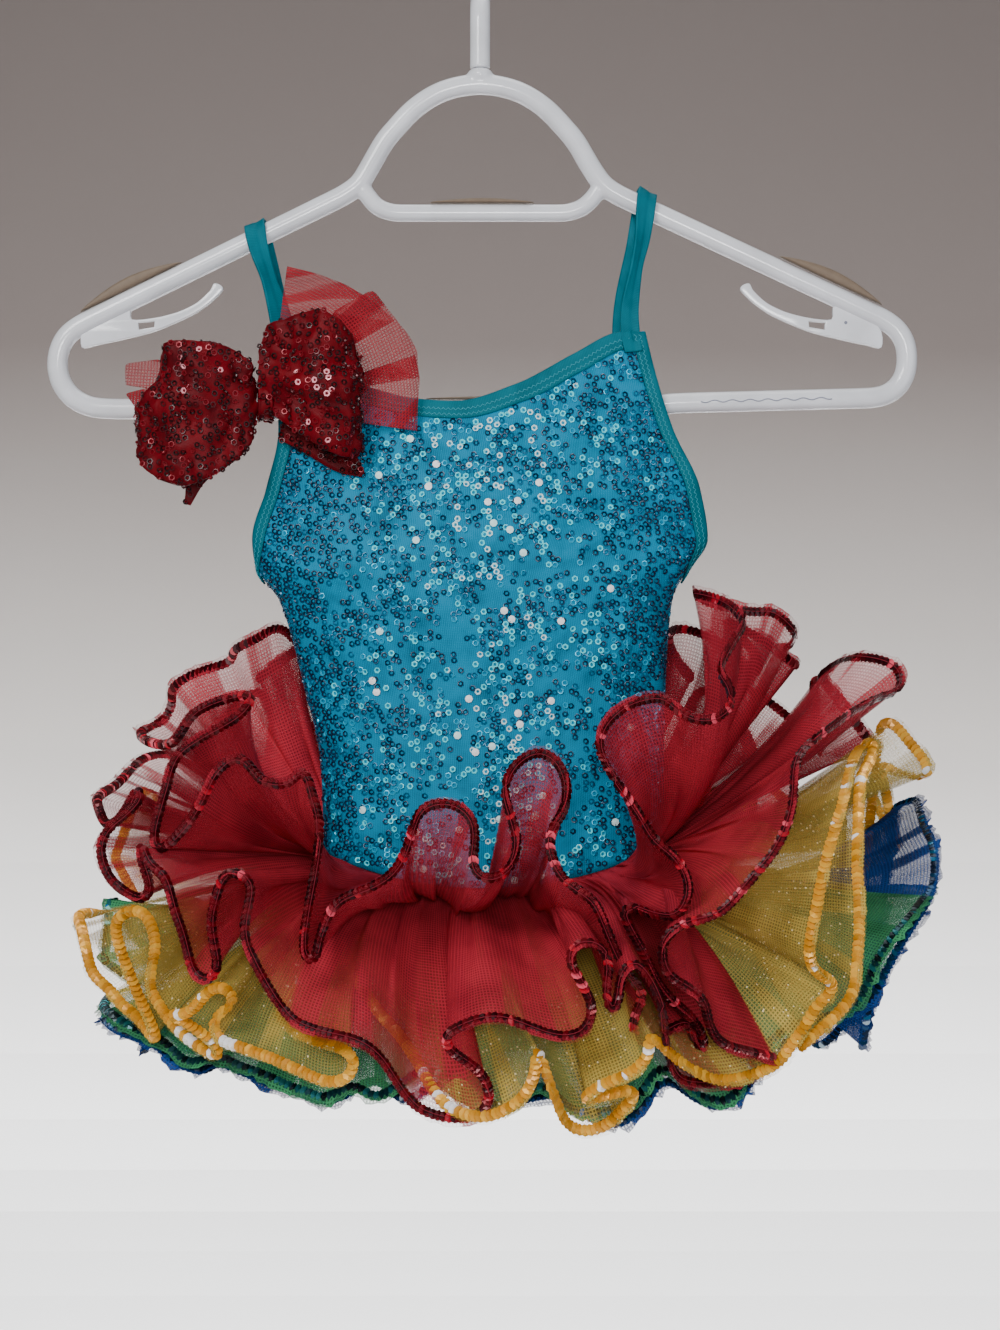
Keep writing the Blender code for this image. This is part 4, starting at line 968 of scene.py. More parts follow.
def small_mesh(name, points, faces):
    """A small repeated shape, hidden until it is used."""
    mesh = bpy.data.meshes.new(name)
    mesh.from_pydata([Vector(point) * MM for point in points], [], faces)
    return link(name, faced(mesh))


def new_tree(name, sockets):
    """A Geometry Nodes tree with a geometry input, the named inputs and a geometry output."""
    tree = bpy.data.node_groups.new(name, "GeometryNodeTree")
    tree.interface.new_socket("Geometry", in_out="INPUT", socket_type="NodeSocketGeometry")
    for word, kind in sockets:
        tree.interface.new_socket(word, in_out="INPUT", socket_type=kind)
    tree.interface.new_socket("Geometry", in_out="OUTPUT", socket_type="NodeSocketGeometry")
    return tree, node(tree, "NodeGroupInput").outputs, node(tree, "NodeGroupOutput")


FLOAT, INT = "NodeSocketFloat", "NodeSocketInt"
REPEAT_SOCKETS = [
    ("Shape", "NodeSocketObject"),
    ("Tilt", FLOAT),
    ("Lean", FLOAT),
    ("Seed", INT),
    ("Material", "NodeSocketMaterial"),
]


def finish_repeats(tree, given, out, points, rotation, turning):
    """Puts the shape on each point at a random tilt, gives each a tint that paints reflection, makes it all
    one mesh.
    """
    shape = node(tree, "GeometryNodeObjectInfo", {"Object": given["Shape"]})
    back = maths(tree, "MULTIPLY", given["Tilt"], -1.0)
    swing = []
    for offset in (1, 2):
        drawn = node(tree, "FunctionNodeRandomValue", {2: back, 3: given["Tilt"]}, data_type="FLOAT")
        seed = node(tree, "FunctionNodeIntegerMath", {0: given["Seed"], 1: offset}, operation="ADD")
        fill(tree, drawn, {"Seed": seed.outputs[0]})
        swing.append(drawn.outputs[1])
    inputs = {2: -turning, 3: turning, "Seed": given["Seed"]}
    spin = node(tree, "FunctionNodeRandomValue", inputs, data_type="FLOAT")
    lean = maths(tree, "ADD", swing[1], given["Lean"])
    angles = node(tree, "ShaderNodeCombineXYZ", {"X": swing[0], "Y": lean, "Z": spin.outputs[1]})
    turned = node(tree, "FunctionNodeEulerToRotation", {0: angles.outputs[0]})
    inputs = {0: rotation, 1: turned.outputs[0]}
    both = node(tree, "FunctionNodeRotateRotation", inputs, rotation_space="LOCAL")
    inputs = {"Points": points, "Instance": shape.outputs["Geometry"], "Rotation": both.outputs[0]}
    set_out = node(tree, "GeometryNodeInstanceOnPoints", inputs)
    # A random tint for each piece: the sequin finishes paint reflections and glints from it.
    drawn = node(tree, "FunctionNodeRandomValue", {"Seed": given["Seed"]}, data_type="FLOAT")
    inputs = {"Geometry": set_out.outputs[0], "Name": "tint", "Value": drawn.outputs[1]}
    with_reflection_tint = node(tree, "GeometryNodeStoreNamedAttribute", inputs, data_type="FLOAT", domain="INSTANCE")
    whole = node(tree, "GeometryNodeRealizeInstances", {"Geometry": with_reflection_tint.outputs[0]})
    inputs = {"Geometry": whole.outputs[0], "Material": given["Material"]}
    coated = node(tree, "GeometryNodeSetMaterial", inputs)
    tree.links.new(coated.outputs[0], out.inputs[0])


def scatter_tree():
    """Sequins sewn at random over a surface, no nearer to each other than the spacing."""
    tree, given, out = new_tree("scattered_sequins", [("Spacing", FLOAT), ("Most", FLOAT), *REPEAT_SOCKETS])
    cover = node(tree, "GeometryNodeInputNamedAttribute", {"Name": "cover"}, data_type="FLOAT")
    inputs = {
        "Mesh": given["Geometry"],
        "Distance Min": given["Spacing"],
        "Density Max": given["Most"],
        "Density Factor": cover.outputs[0],
        "Seed": given["Seed"],
    }
    spread = node(tree, "GeometryNodeDistributePointsOnFaces", inputs, distribute_method="POISSON")
    finish_repeats(tree, given, out, spread.outputs["Points"], spread.outputs["Rotation"], math.pi)
    return tree


def string_tree():
    """Sequins or stitches along a line of points that carry the way they face and the way the line runs."""
    tree, given, out = new_tree("strung_pieces", REPEAT_SOCKETS)
    facing = node(tree, "GeometryNodeInputNamedAttribute", {"Name": "facing"}, data_type="FLOAT_VECTOR")
    along = node(tree, "GeometryNodeInputNamedAttribute", {"Name": "along"}, data_type="FLOAT_VECTOR")
    up = node(tree, "FunctionNodeAlignRotationToVector", {"Vector": facing.outputs[0]}, axis="Z")
    inputs = {"Rotation": up.outputs[0], "Vector": along.outputs[0]}
    ahead = node(tree, "FunctionNodeAlignRotationToVector", inputs, axis="X", pivot_axis="Z")
    finish_repeats(tree, given, out, given["Geometry"], ahead.outputs[0], STRING_TURNING)
    return tree


MADE = {}


def once(key, maker):
    """What the maker gives, made at the first call and kept."""
    if key not in MADE:
        MADE[key] = maker()
    return MADE[key]


def grown(name, carrier, tree, values):
    """The carrier's Geometry Nodes result as a plain mesh object. The carrier goes."""
    modifier = carrier.modifiers.new("Repeats", "NODES")
    modifier.node_group = tree
    for item in tree.interface.items_tree:
        if item.in_out == "INPUT" and item.name in values:
            modifier[item.identifier] = values[item.name]
    mesh = evaluated(carrier)
    mesh.name = name
    return link(name, mesh)


def scatter_on(name, grid, cover, shape, finish, spacing, most, tilt, seed):
    """Sequins over a grid of points, where its cover from 0 to 1 lets them lie.

    They lie no nearer to each other than the spacing, and most is how many a square metre can hold.
    """
    mesh = bpy.data.meshes.new(name + "_ground")
    index = np.arange(grid.shape[0] * grid.shape[1]).reshape(grid.shape[:2])
    mesh.from_pydata((grid.reshape(-1, 3) * MM).tolist(), [], quads_of(index).tolist())
    keep(mesh, "cover", "FLOAT", "value", np.broadcast_to(cover, grid.shape[:2]))
    carrier = link(name + "_ground", mesh)
    values = {"Spacing": spacing * MM, "Most": most, "Shape": shape, "Tilt": tilt, "Lean": 0.0}
    return grown(name, carrier, once("scatter", scatter_tree), values | {"Seed": seed, "Material": finish})


def string_on(name, points, facing, along, shape, finish, tilt, lean, seed):
    """Pieces strung along a line."""
    mesh = bpy.data.meshes.new(name + "_line")
    mesh.from_pydata((points * MM).tolist(), [], [])
    for word, values in (("facing", facing), ("along", along)):
        keep(mesh, word, "FLOAT_VECTOR", "vector", values)
    carrier = link(name + "_line", mesh)
    values = {"Shape": shape, "Tilt": tilt, "Lean": lean, "Seed": seed, "Material": finish}
    return grown(name, carrier, once("string", string_tree), values)


# The tints of the sequins, from the darkest to the lightest: where each starts, and its colour. Over the
# sequins' own colour they paint reflection: the dark ones as if mirroring the dark room, the bright ones as
# if mirroring the lamps, and the lightest are painted white glints.
REFLECTION_TINTS = {
    "bodice": [
        (0.0, "062440"), (0.28, "0A3656"), (0.48, "086488"), (0.66, "14B0D4"), (0.8, "50F4FF"),
        (1.18, "E0FFFF"),
    ],
    "glints": [(0.0, "D8FFFF"), (0.4, "FFFFFF")],
    "red": [(0.0, "3A050E"), (0.4, "52070F"), (0.7, "760A18"), (0.93, "B81428"), (1.12, "F2586C")],
    "bow": [(0.0, "280409"), (0.5, "4C0610"), (0.8, "7E0C1C"), (1.02, "F03C50"), (1.3, "FFB0B8")],
    "gold": [(0.0, "CC8A14"), (0.3, "E29C22"), (0.65, "F2B232"), (1.0, "FFE0A0"), (1.08, "FFFFFF")],
    "teal": [(0.0, "011C22"), (0.4, "033C42"), (0.75, "08666A"), (0.98, "2078C0"), (1.06, "9AF2E4")],
    "blue": [(0.0, "03203A"), (0.45, "064064"), (0.8, "0A6890"), (0.98, "3CA8E0"), (1.06, "D8F4FF")],
}

# Each finish: the function that makes it and that function's values in their order.
FINISHES = {
    "knit": (knit_material, "sequinned stretch knit", "005C78", "008CB4", 0.9),
    "plain": (knit_material, "plain stretch knit", "00525E", "007080", 0.8),
    "satin": (knit_material, "red sequinned backing", "30040A", "740A16", 0.5, 0.4),
    "thread": (knit_material, "sewing thread", "6A1420", "9A3040", 0.3),
    "stitches": (knit_material, "stitching thread", "1A8498", "5CC4D2", 0.3),
    "red": (organza_material, "red organza", "861C2A", "C83646", 0.38, 0.95, 1.6),
    "gold": (organza_material, "gold organza", "90762C", "E8CC68", 0.2, 0.5, 1.5, "FFF2BC"),
    "green": (organza_material, "green net", "125236", "4CA670", 0.62, 0.92, 1.5),
    "blue": (organza_material, "blue net", "082050", "224E98", 0.7, 0.92, 1.5),
    "tulle": (organza_material, "red tulle", "741420", "B02834", 0.44, 0.8, 1.5, None, 0.6),
    "bodice sequins": (sequin_material, "blue cupped sequins", REFLECTION_TINTS["bodice"], 0.3, 0.2, 0.5, 1.2),
    "glints": (sequin_material, "sequins that face the light", REFLECTION_TINTS["glints"], 0.4, 0.0, 0.1),
    "red sequins": (sequin_material, "red flat sequins", REFLECTION_TINTS["red"], 0.25, 0.45, 0.9),
    "bow sequins": (sequin_material, "dark red cupped sequins", REFLECTION_TINTS["bow"], 0.3, 0.3, 0.7),
    "gold sequins": (sequin_material, "gold flat sequins", REFLECTION_TINTS["gold"], 0.3, 0.2, 0.9),
    "teal sequins": (sequin_material, "teal flat sequins", REFLECTION_TINTS["teal"], 0.25, 0.5, 0.9),
    "blue sequins": (sequin_material, "blue flat sequins", REFLECTION_TINTS["blue"], 0.25, 0.5, 0.9),
    "plastic": (plastic_material, "white moulded plastic", "F0F1F6", 0.14, 40.0),
    "mould line": (plastic_material, "shaded mould line", "8E93A4", 0.3, 40.0),
    "rubber": (plastic_material, "tan soft grip", "7C6A58", 0.6, 300.0),
}


def finishes(key):
    """The costume's finish of this name, made once."""
    maker, *values = FINISHES[key]
    return once(key, lambda: maker(*values))


def hand_over(piece, nodes=()):
    """Tells the frame what a finished piece rides on, and hides the imported parts that it stands for."""
    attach(piece, "root")
    if nodes:
        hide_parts(*nodes)
    return piece


def root_points(angles, drop, out=ROOT_OUT):
    """A ruffle's root at these bearings round the costume: 0 is the front, 90 the right, 180 the back."""
    angles = (np.asarray(angles, float) + 180) % 360 - 180
    side = np.where(np.abs(angles) <= 90, -1, 1)
    own = np.where(side < 0, angles, np.copysign(180 - np.abs(angles), angles))
    across = across_of(own)
    return moved_out(across, seam_z(across, side) - drop, side, out)


def direction(bearing, lift):
    """The unit vector at this bearing and this lift above level, in degrees."""
    bearing, lift = np.broadcast_arrays(np.radians(bearing), np.radians(lift))
    level = np.cos(lift)
    return np.stack([np.sin(bearing) * level, -np.cos(bearing) * level, np.sin(lift)], axis=-1)


def width_at(ruffle, bearing):
    """A ruffle's width from its root to the sequin string at a bearing."""
    return ruffle.width - ruffle.front_less * np.maximum(np.cos(np.radians(bearing)), 0.0) - TRIM_INSET


def first_bearings(ruffle, x, z, behind):
    """The bearings at which edge points would show at x and z, with each root straight behind its edge."""
    step = np.arange(-90.0, 90.5, 1.0)
    angles = np.where(behind[:, None] >= 0.5, 180 - step[None], step[None])
    root = root_points(angles, ruffle.drop)
    width = width_at(ruffle, angles)
    low = np.full(angles.shape, -STEEPEST)
    high = np.full(angles.shape, STEEPEST)
    for _ in range(HALVINGS):
        middle = (low + high) / 2
        point = root + direction(angles, middle) * width[..., None]
        seen = VIEW_Z + (point[..., 2] - VIEW_Z) / (1 + point[..., 1] / VIEW_DISTANCE)
        below = seen < z[:, None]
        low = np.where(below, middle, low)
        high = np.where(below, high, middle)
    point = root + direction(angles, low) * width[..., None]
    seen = VIEW_X + (point[..., 0] - VIEW_X) / (1 + point[..., 1] / VIEW_DISTANCE)
    best = np.argmin(np.abs(seen - x[:, None]), axis=1)
    found = angles[np.arange(len(x)), best]
    return (found + 180) % 360 - 180


def rising(values, weights):
    """The nearest values to these that never fall, by pooling neighbours."""
    pools = []
    for value, weight in zip(values, weights):
        pools.append([value * weight, weight, 1])
        while len(pools) > 1 and pools[-2][0] / pools[-2][1] > pools[-1][0] / pools[-1][1]:
            total, share, count = pools.pop()
            pools[-1][0] += total
            pools[-1][1] += share
            pools[-1][2] += count
    return np.concatenate([np.full(count, total / share) for total, share, count in pools])


def visible_edge(name):
    """The sequin string that shows from the front: its points and the bearing of each one's root."""
    ruffle = RUFFLES[name]
    trace = through(rows_of(EdgePoint, EDGES[name]), EDGE_STEPS)
    x = (trace[:, 0] - MIDDLE_PX) * PIXEL
    z = -(TOP_Z + PIXEL * trace[:, 1])
    behind = np.clip(trace[:, 2], 0, 1)
    bearing = first_bearings(ruffle, x, z, behind)
    start = np.where((behind >= 0.5) & (np.arange(len(x)) < len(x) / 2) & (bearing > 0), -180, bearing)
    bearing = np.where((behind >= 0.5) & (np.arange(len(x)) > len(x) / 2) & (bearing < 0), 180, start)
    run = lengths_along(np.stack([x, z], -1))
    weights = np.gradient(run) + 0.01
    pooled = rising(bearing, weights)
    even = pooled[0] + (pooled[-1] - pooled[0]) * run / run[-1]
    root_bearing = blurred(POOLED_SHARE * pooled + (1 - POOLED_SHARE) * even, ROOT_SPREAD)
    root = root_points(root_bearing, ruffle.drop)
    width = width_at(ruffle, root_bearing)
    origin = np.array([VIEW_X, -VIEW_DISTANCE, VIEW_Z])
    ray = np.stack([(x - VIEW_X) / VIEW_DISTANCE, np.ones_like(x), (z - VIEW_Z) / VIEW_DISTANCE], -1)
    offset = origin - root
    a = (ray**2).sum(1)
    b = (ray * offset).sum(1)
    c = (offset**2).sum(1) - width**2
    inside = np.sqrt(np.maximum(b * b - a * c, 0.0)) / a
    middle = -b / a - VIEW_DISTANCE
    near, far = middle - inside, middle + inside
    tuck = FRONT_TUCK.get(name, 0.0) * np.maximum(np.cos(np.radians(root_bearing)), 0.0)
    y = blurred(near + (far - near) * np.maximum(smooth_step(behind), tuck), DEPTH_SPREAD)
    return placed(x, z, y), root_bearing


def back_edge(name, start, end, seed):
    """The string round the back, from one bearing to the other, in even folds."""
    ruffle = RUFFLES[name]
    bearing = np.linspace(start, end, BACK_POINTS)
    part = (bearing - start) / (end - start)
    uneven = BACK_UNEVEN * np.sin(2 * np.pi * part * 2.3 + seed) / BACK_FOLDS
    wave = 0.5 - 0.5 * np.cos(2 * np.pi * BACK_FOLDS * (part + uneven * np.sin(np.pi * part)))
    lift = ruffle.back_valley + (ruffle.back_crest - ruffle.back_valley) * wave
    swing = BACK_SWING * np.sin(2 * np.pi * BACK_FOLDS * part + 0.9 + seed)
    width = width_at(ruffle, bearing)
    ahead = direction(bearing + swing * np.sin(np.pi * part), lift)
    return root_points(bearing, ruffle.drop) + ahead * width[:, None], bearing


def ruffle_edge(name, seed):
    """The whole string, closed at the middle of the back, in steps of equal length."""
    shown, shown_bearing = visible_edge(name)
    hidden, hidden_bearing = back_edge(name, shown_bearing[-1], shown_bearing[0] + 360, seed)
    cut = int(np.searchsorted(hidden_bearing, 180.0))
    points = np.concatenate([hidden[cut:-1], shown, hidden[1 : cut + 1]])
    bearing = np.concatenate([hidden_bearing[cut:-1] - 360, shown_bearing, hidden_bearing[1 : cut + 1]])
    run = lengths_along(points)
    even = np.arange(0, run[-1], 1.0)
    points = at_places(points, run, even)
    bearing = np.interp(even, run, bearing)
    points = blurred(points, LINE_SPREAD)
    run = lengths_along(points)
    count = int(run[-1] / COLUMN_STEP)
    even = np.linspace(0, run[-1], count)
    return at_places(points, run, even), np.interp(even, run, bearing), even


def ruffle_grid(name, look):
    """The rows of a ruffle's cloth from its root to its raw edge, its flat map and how gathered it is."""
    ruffle = RUFFLES[name]
    seed = look.seed
    edge, bearing, run = ruffle_edge(name, seed)
    bearing = blurred(bearing, 2)
    root = root_points(bearing, max(ruffle.drop - HEADING, 0))
    rightness = (1 + np.sin(np.radians(bearing))) / 2
    lift = ruffle.lift_left + (ruffle.lift_right - ruffle.lift_left) * rightness
    if name == "ruffle_red_upper":
        lift += (FRONT_START - lift) * np.maximum(np.cos(np.radians(bearing)), 0) ** 2
    start = direction(bearing, lift)
    reach = np.linalg.norm(edge - root, axis=1, keepdims=True)
    straight = unit(edge - root)
    guide = root + unit(START_SHARE * start + (1 - START_SHARE) * straight) * reach * START_REACH
    wave = 2 * np.pi * GATHERS_PER_MM * lengths_along(root)
    wave = wave + 0.8 * np.sin(wave * 0.13 + seed)
    grid = np.array([root * (1 - v) ** 2 + guide * 2 * v * (1 - v) + edge * v**2 for v in RUFFLE_ROWS])
    spacing = np.linalg.norm(np.gradient(grid, axis=1), axis=2) / COLUMN_STEP
    normal = grid_normals(grid)
    normal *= np.sign((normal * direction(bearing, 60.0)[None]).sum(-1, keepdims=True) + 1e-6)
    tangent = unit(np.gradient(grid, axis=1))
    fold = 2 * np.pi * run / FOLD_LENGTH
    fold = fold + 1.6 * np.sin(run * 0.023 + seed) + 1.1 * np.sin(run * 0.061 + 2 * seed)
    deep = FOLD_DEPTH * (0.65 + 0.35 * np.sin(run * 0.017 + 3 * seed))
    for r, v in enumerate(RUFFLE_ROWS):
        pucker = PUCKER * smooth_step(v / 0.12) * (1 - smooth_step((v - 0.2) / 0.7))
        grid[r] += normal[r] * (pucker * (0.5 + 0.5 * np.sin(wave)))[:, None]
        share = math.sin(math.pi * min(v * 1.05, 1.0)) ** 0.8
        grid[r] -= tangent[r] * (deep * share * np.sin(fold))[:, None]
        grid[r] += normal[r] * (deep * share * FOLD_RISE * np.sin(fold))[:, None]
    frayed = np.random.default_rng(seed).normal(0.0, look.fray, len(run))
    last = grid[-1] + unit(grid[-1] - grid[-2]) * (TRIM_INSET + np.clip(frayed, -2, 2))[:, None]
    grid = np.concatenate([grid, last[None]])
    down = np.array([*RUFFLE_ROWS, 1 + TRIM_INSET / ruffle.width]) * ruffle.width
    flat = np.stack(np.broadcast_arrays(run[None, :], down[:, None]), -1)
    spacing = np.concatenate([spacing, spacing[-1:]])
    near_root = np.clip(1 - down / ruffle.width, 0, 1)[:, None] ** look.root_reach
    gathered = np.maximum(np.clip(CLOSENESS * (1 - spacing), 0, 1), near_root)
    gathered[-1] = -RAW_EDGE
    return grid, flat, gathered


def metres_along(line):
    """Length of a line of points in metres."""
    return float(lengths_along(line)[-1]) * MM


# How a ruffle is finished: its cloth, its sequins and how broad they are, how fast the gathers thin out below
# the root, and how frayed the edge is.
RuffleLook = namedtuple("RuffleLook", "organza sequins slot seed broad root_reach fray")
RUFFLE_LOOKS = {
    "ruffle_red_upper": RuffleLook("red", "red sequins", "red_organza", 1, 1.0, 0.85, 0.3),
    "ruffle_red_lower": RuffleLook("red", "red sequins", "red_organza", 2, 1.0, 1.2, 0.3),
    "ruffle_yellow": RuffleLook("gold", "gold sequins", "gold_organza", 3, 1.12, 1.3, 0.3),
    "ruffle_green": RuffleLook("green", "teal sequins", "green_net", 4, 1.0, 0.9, 1.1),
    "ruffle_blue": RuffleLook("blue", "blue sequins", "blue_net", 5, 0.9, 0.8, 1.4),
}


def panel_grid(top, bottom, side, rows, out=0.0, columns=56):
    """A leotard panel between two edges, its columns running to the right as seen from outside."""
    across = across_of(np.linspace(-90, 90, columns))
    across = across if side < 0 else across[::-1]
    down = np.linspace(0, 1, rows)[:, None]
    z = top(across) + (bottom(across) - top(across)) * down
    return moved_out(across[None] + 0 * z, z, side, out) if out else on_side(across[None] + 0 * z, z, side)


def outward(grid, facing):
    """The grid turned so that its normals face this way."""
    facing = np.asarray(facing, float)
    return grid if (grid_normals(grid) * facing).sum(-1).mean() > 0 else grid[:, ::-1]


class CostumeSizes(bpy.types.PropertyGroup):
    """Sizes and colours that a user would change."""

    sequin: bpy.props.FloatProperty(
        name="Sequin", description="Width of a bodice sequin", default=3.1 * MM, unit="LENGTH"
    )
    sequin_spacing: bpy.props.FloatProperty(
        name="Sequin spacing", description="Least distance between two", default=2.25 * MM, unit="LENGTH"
    )
    string_width: bpy.props.FloatProperty(
        name="String width", description="Width of a ruffle's sequin", default=5 * MM, unit="LENGTH"
    )
    backdrop: bpy.props.FloatVectorProperty(
        name="Backdrop", description="Colour of the wall's middle", default=colour("C2BDB9"), subtype="COLOR"
    )


def sizes():
    return bpy.context.scene.tutu_costume


def area_light(lamp):
    """A square area light."""
    light = bpy.data.lights.new(lamp.name, "AREA")
    light.energy = lamp.power
    light.size = lamp.size
    light.color = colour(lamp.code)
    made = bpy.data.objects.new(lamp.name, light)
    made.location = lamp.place
    bpy.context.scene.collection.objects.link(made)
    return made


class TUTU_OT_stage(bpy.types.Operator):
    """Sets the pale floor and wall, the soft lights and the camera"""

    bl_idname = "tutu.stage"
    bl_label = "Stage"

    def execute(self, context):
        points = [(x, y, z) for y, z in through(WALL_PROFILE, 6) for x in (-WALL_HALF, WALL_HALF)]
        faces = [(i, i + 1, i + 3, i + 2) for i in range(0, len(points) - 2, 2)]
        wall = bpy.data.meshes.new("backdrop")
        wall.from_pydata(points, [], faces)
        made, tree, shader = material("pale painted wall")
        where = place_of(tree)
        cloud = clouds(tree, where, 2.0, 1.2)
        # Painted light and shade: by height, white at the wall's foot and grey-taupe at its top.
        height = node(tree, "ShaderNodeSeparateXYZ", {"Vector": where}).outputs["Z"]
        height = maths(tree, "MULTIPLY_ADD", height, WALL_TONE_STEP, WALL_TONE_START)
        height = maths(tree, "MULTIPLY_ADD", cloud, 0.1, height)
        tone = ramp(tree, height, [(0.3, WALL_FOOT), (0.6, sizes().backdrop), (0.95, WALL_TOP)])
        from_behind = node(tree, "ShaderNodeNewGeometry").outputs["Backfacing"]
        solid = maths(tree, "SUBTRACT", 1.0, from_behind)
        fill(tree, shader, {"Base Color": tone, "Roughness": 0.9, "Alpha": solid})
        link("backdrop", wall, made)
        middle = Vector((VIEW_X, 0, VIEW_Z)) * MM
        for lamp in LAMPS:
            made = area_light(lamp)
            made.rotation_euler = (middle - Vector(lamp.place)).to_track_quat("-Z", "Y").to_euler()
        made = area_light(GLOW)
        made.data.shape = "RECTANGLE"
        made.data.size_y = GLOW_HEIGHT
        made.rotation_euler = (math.radians(GLOW_TILT), 0, 0)
        world = bpy.data.worlds.new("soft light")
        world.use_nodes = True
        inputs = {"Color": (*colour(SKY), 1.0), "Strength": SKY_STRENGTH}
        fill(world.node_tree, world.node_tree.nodes["Background"], inputs)
        context.scene.world = world
        camera = bpy.data.cameras.new("camera")
        camera.sensor_width = SENSOR
        camera.sensor_fit = "HORIZONTAL"
        camera.lens = SENSOR * VIEW_DISTANCE / FRAME_WIDTH
        made = bpy.data.objects.new("camera", camera)
        made.location = Vector((VIEW_X, -VIEW_DISTANCE, VIEW_Z)) * MM
        made.rotation_euler = (math.radians(90), 0, 0)
        context.scene.collection.objects.link(made)
        context.scene.camera = made
        return {"FINISHED"}


def neck_line(neck):
    return lambda across: neck_at(neck, across)


def bodice_cover(grid):
    """How thickly the sequins lie: patchy, and denser towards the side seams."""
    cover = np.empty(grid.shape[:2])
    for index in np.ndindex(*grid.shape[:2]):
        x, y, z = grid[index]
        cloud = noise.noise(Vector((x, y * 0.5, z)) * PATCH_SCALE)
        cloud += 0.6 * noise.noise(Vector((x, y, z)) * GRAIN_SCALE)
        middle = (section_at("left", z) + section_at("right", z)) / 2
        half = (section_at("right", z) - section_at("left", z)) / 2
        side = abs(x - middle) / half
        near_side = smooth_step((side - SIDE_FROM) / SIDE_REACH)
        cover[index] = COVER_MEAN + COVER_PATCHES * cloud + COVER_SIDES * near_side
    return np.clip(cover, COVER_LEAST, 1.0)


class TUTU_OT_leotard(bpy.types.Operator):
    """Makes the bodice panels with their sequins, and the plain brief"""

    bl_idname = "tutu.leotard"
    bl_label = "Leotard"

    def execute(self, context):
        ring = ring_mesh("sequin_ring", sizes().sequin / MM / 2, hole=0.74, thick=0.3, cup=0.5)
        glint = disc_mesh("turned_sequin", sizes().sequin / MM / 2 + 0.3, thick=0.3, dome=0.3)
        for word, side, neck in (("front", -1, NECK_FRONT), ("back", 1, NECK_BACK)):
            top = neck_line(neck)
            grid = panel_grid(top, lambda across: seam_z(across, side) + HALF_SEAM, side, rows=64)
            grid = outward(grid, (0, side, 0))
            piece = shell("bodice_" + word + "_cloth", grid, KNIT, finishes("knit"))
            ground = panel_grid(
                lambda across: top(across) - BARE_TOP,
                lambda across: seam_z(across, side) + BARE_FOOT,
                side,
                rows=60,
                out=KNIT / 2 + SEQUIN_LIFT,
            )
            ground = outward(ground[:, 3:-3], (0, side, 0))
            spacing = sizes().sequin_spacing / MM
            spread = {"spacing": spacing, "most": SEQUINS_MOST, "tilt": 0.3, "seed": 11 + side}
            finish = finishes("bodice sequins")
            name = "bodice_" + word + "_sequins"
            sequins = scatter_on(name, ground, bodice_cover(ground), ring, finish, **spread)
            hand_over(sequins)
            # Painted glints: white discs down the middle of the bodice and low on it, where sequins would
            # mirror the lamps.
            middle = np.exp(-(((ground[..., 0] - BODICE_MIDDLE) / GLINTS_WIDE) ** 2))
            middle = middle * (ground[..., 2] < GLINTS_BELOW)
            ground = ground + (0, side * GLINT_LIFT, 0)
            spread = {"spacing": GLINT_SPACING, "most": GLINTS_MOST, "tilt": 0.1, "seed": 21 + side}
            name = "bodice_" + word + "_glints"
            glints = scatter_on(name, ground, middle, glint, finishes("glints"), **spread)
            hand_over(glints)
            hand_over(piece, ["bodice_" + word])
            low = panel_grid(lambda across: seam_z(across, side) - HALF_SEAM, leg_z, side, rows=26)
            low = outward(low, (0, side, 0))
            brief = shell("brief_" + word + "_cloth", low, KNIT, finishes("plain"))
            hand_over(brief, ["brief_" + word])
        bpy.data.objects.remove(ring, do_unlink=True)
        bpy.data.objects.remove(glint, do_unlink=True)
        return {"FINISHED"}


class TUTU_OT_ruffles(bpy.types.Operator):
    """Makes the five ruffles and the sequin strings along their edges"""

    bl_idname = "tutu.ruffles"
    bl_label = "Ruffles"

    def execute(self, context):
        for name, look in RUFFLE_LOOKS.items():
            radius = sizes().string_width / MM / 2 * look.broad
            disc = disc_mesh("string_sequin", radius, thick=0.25, dome=0.45)
            grid, flat, gathered = ruffle_grid(name, look)
            piece = shell(name + "_cloth", grid, ORGANZA, finishes(look.organza), flat, gathered)
            row = grid[-2]
            normal = grid_normals(grid)[-2]
            run = lengths_along(row)
            even = np.arange(STRING_MARGIN, run[-1] - STRING_MARGIN, SEQUIN_PITCH)
            line = at_places(row, run, even)
            facing = unit(at_places(normal, run, even))
            level = np.tanh((line[:, 1] - STRING_TURNS_AT) / STRING_TURNS_AT)
            out = np.stack([0 * level, level, STRING_UP + 0 * level], -1)
            facing *= np.sign((facing * out).sum(-1, keepdims=True) + 1e-9)
            facing = unit(facing * (1 - STRING_TO_FRONT * 0.5) + out * STRING_TO_FRONT)
            along = unit(np.gradient(line, axis=0))
            finish = finishes(look.sequins)
            lie = {"tilt": STRING_TILT, "lean": STRING_LEAN, "seed": look.seed}
            trim = string_on(name + "_string", line, facing, along, disc, finish, **lie)
            bpy.data.objects.remove(disc, do_unlink=True)
            if look.organza == "red":
                thread = tube(line + facing * THREAD_LIFT, THREAD_RADIUS, 4)
                thread = link(name + "_thread", rings_mesh(name + "_thread", [thread]), finishes("thread"))
                hand_over(thread)
            hand_over(trim)
            hand_over(piece, [name])
        return {"FINISHED"}


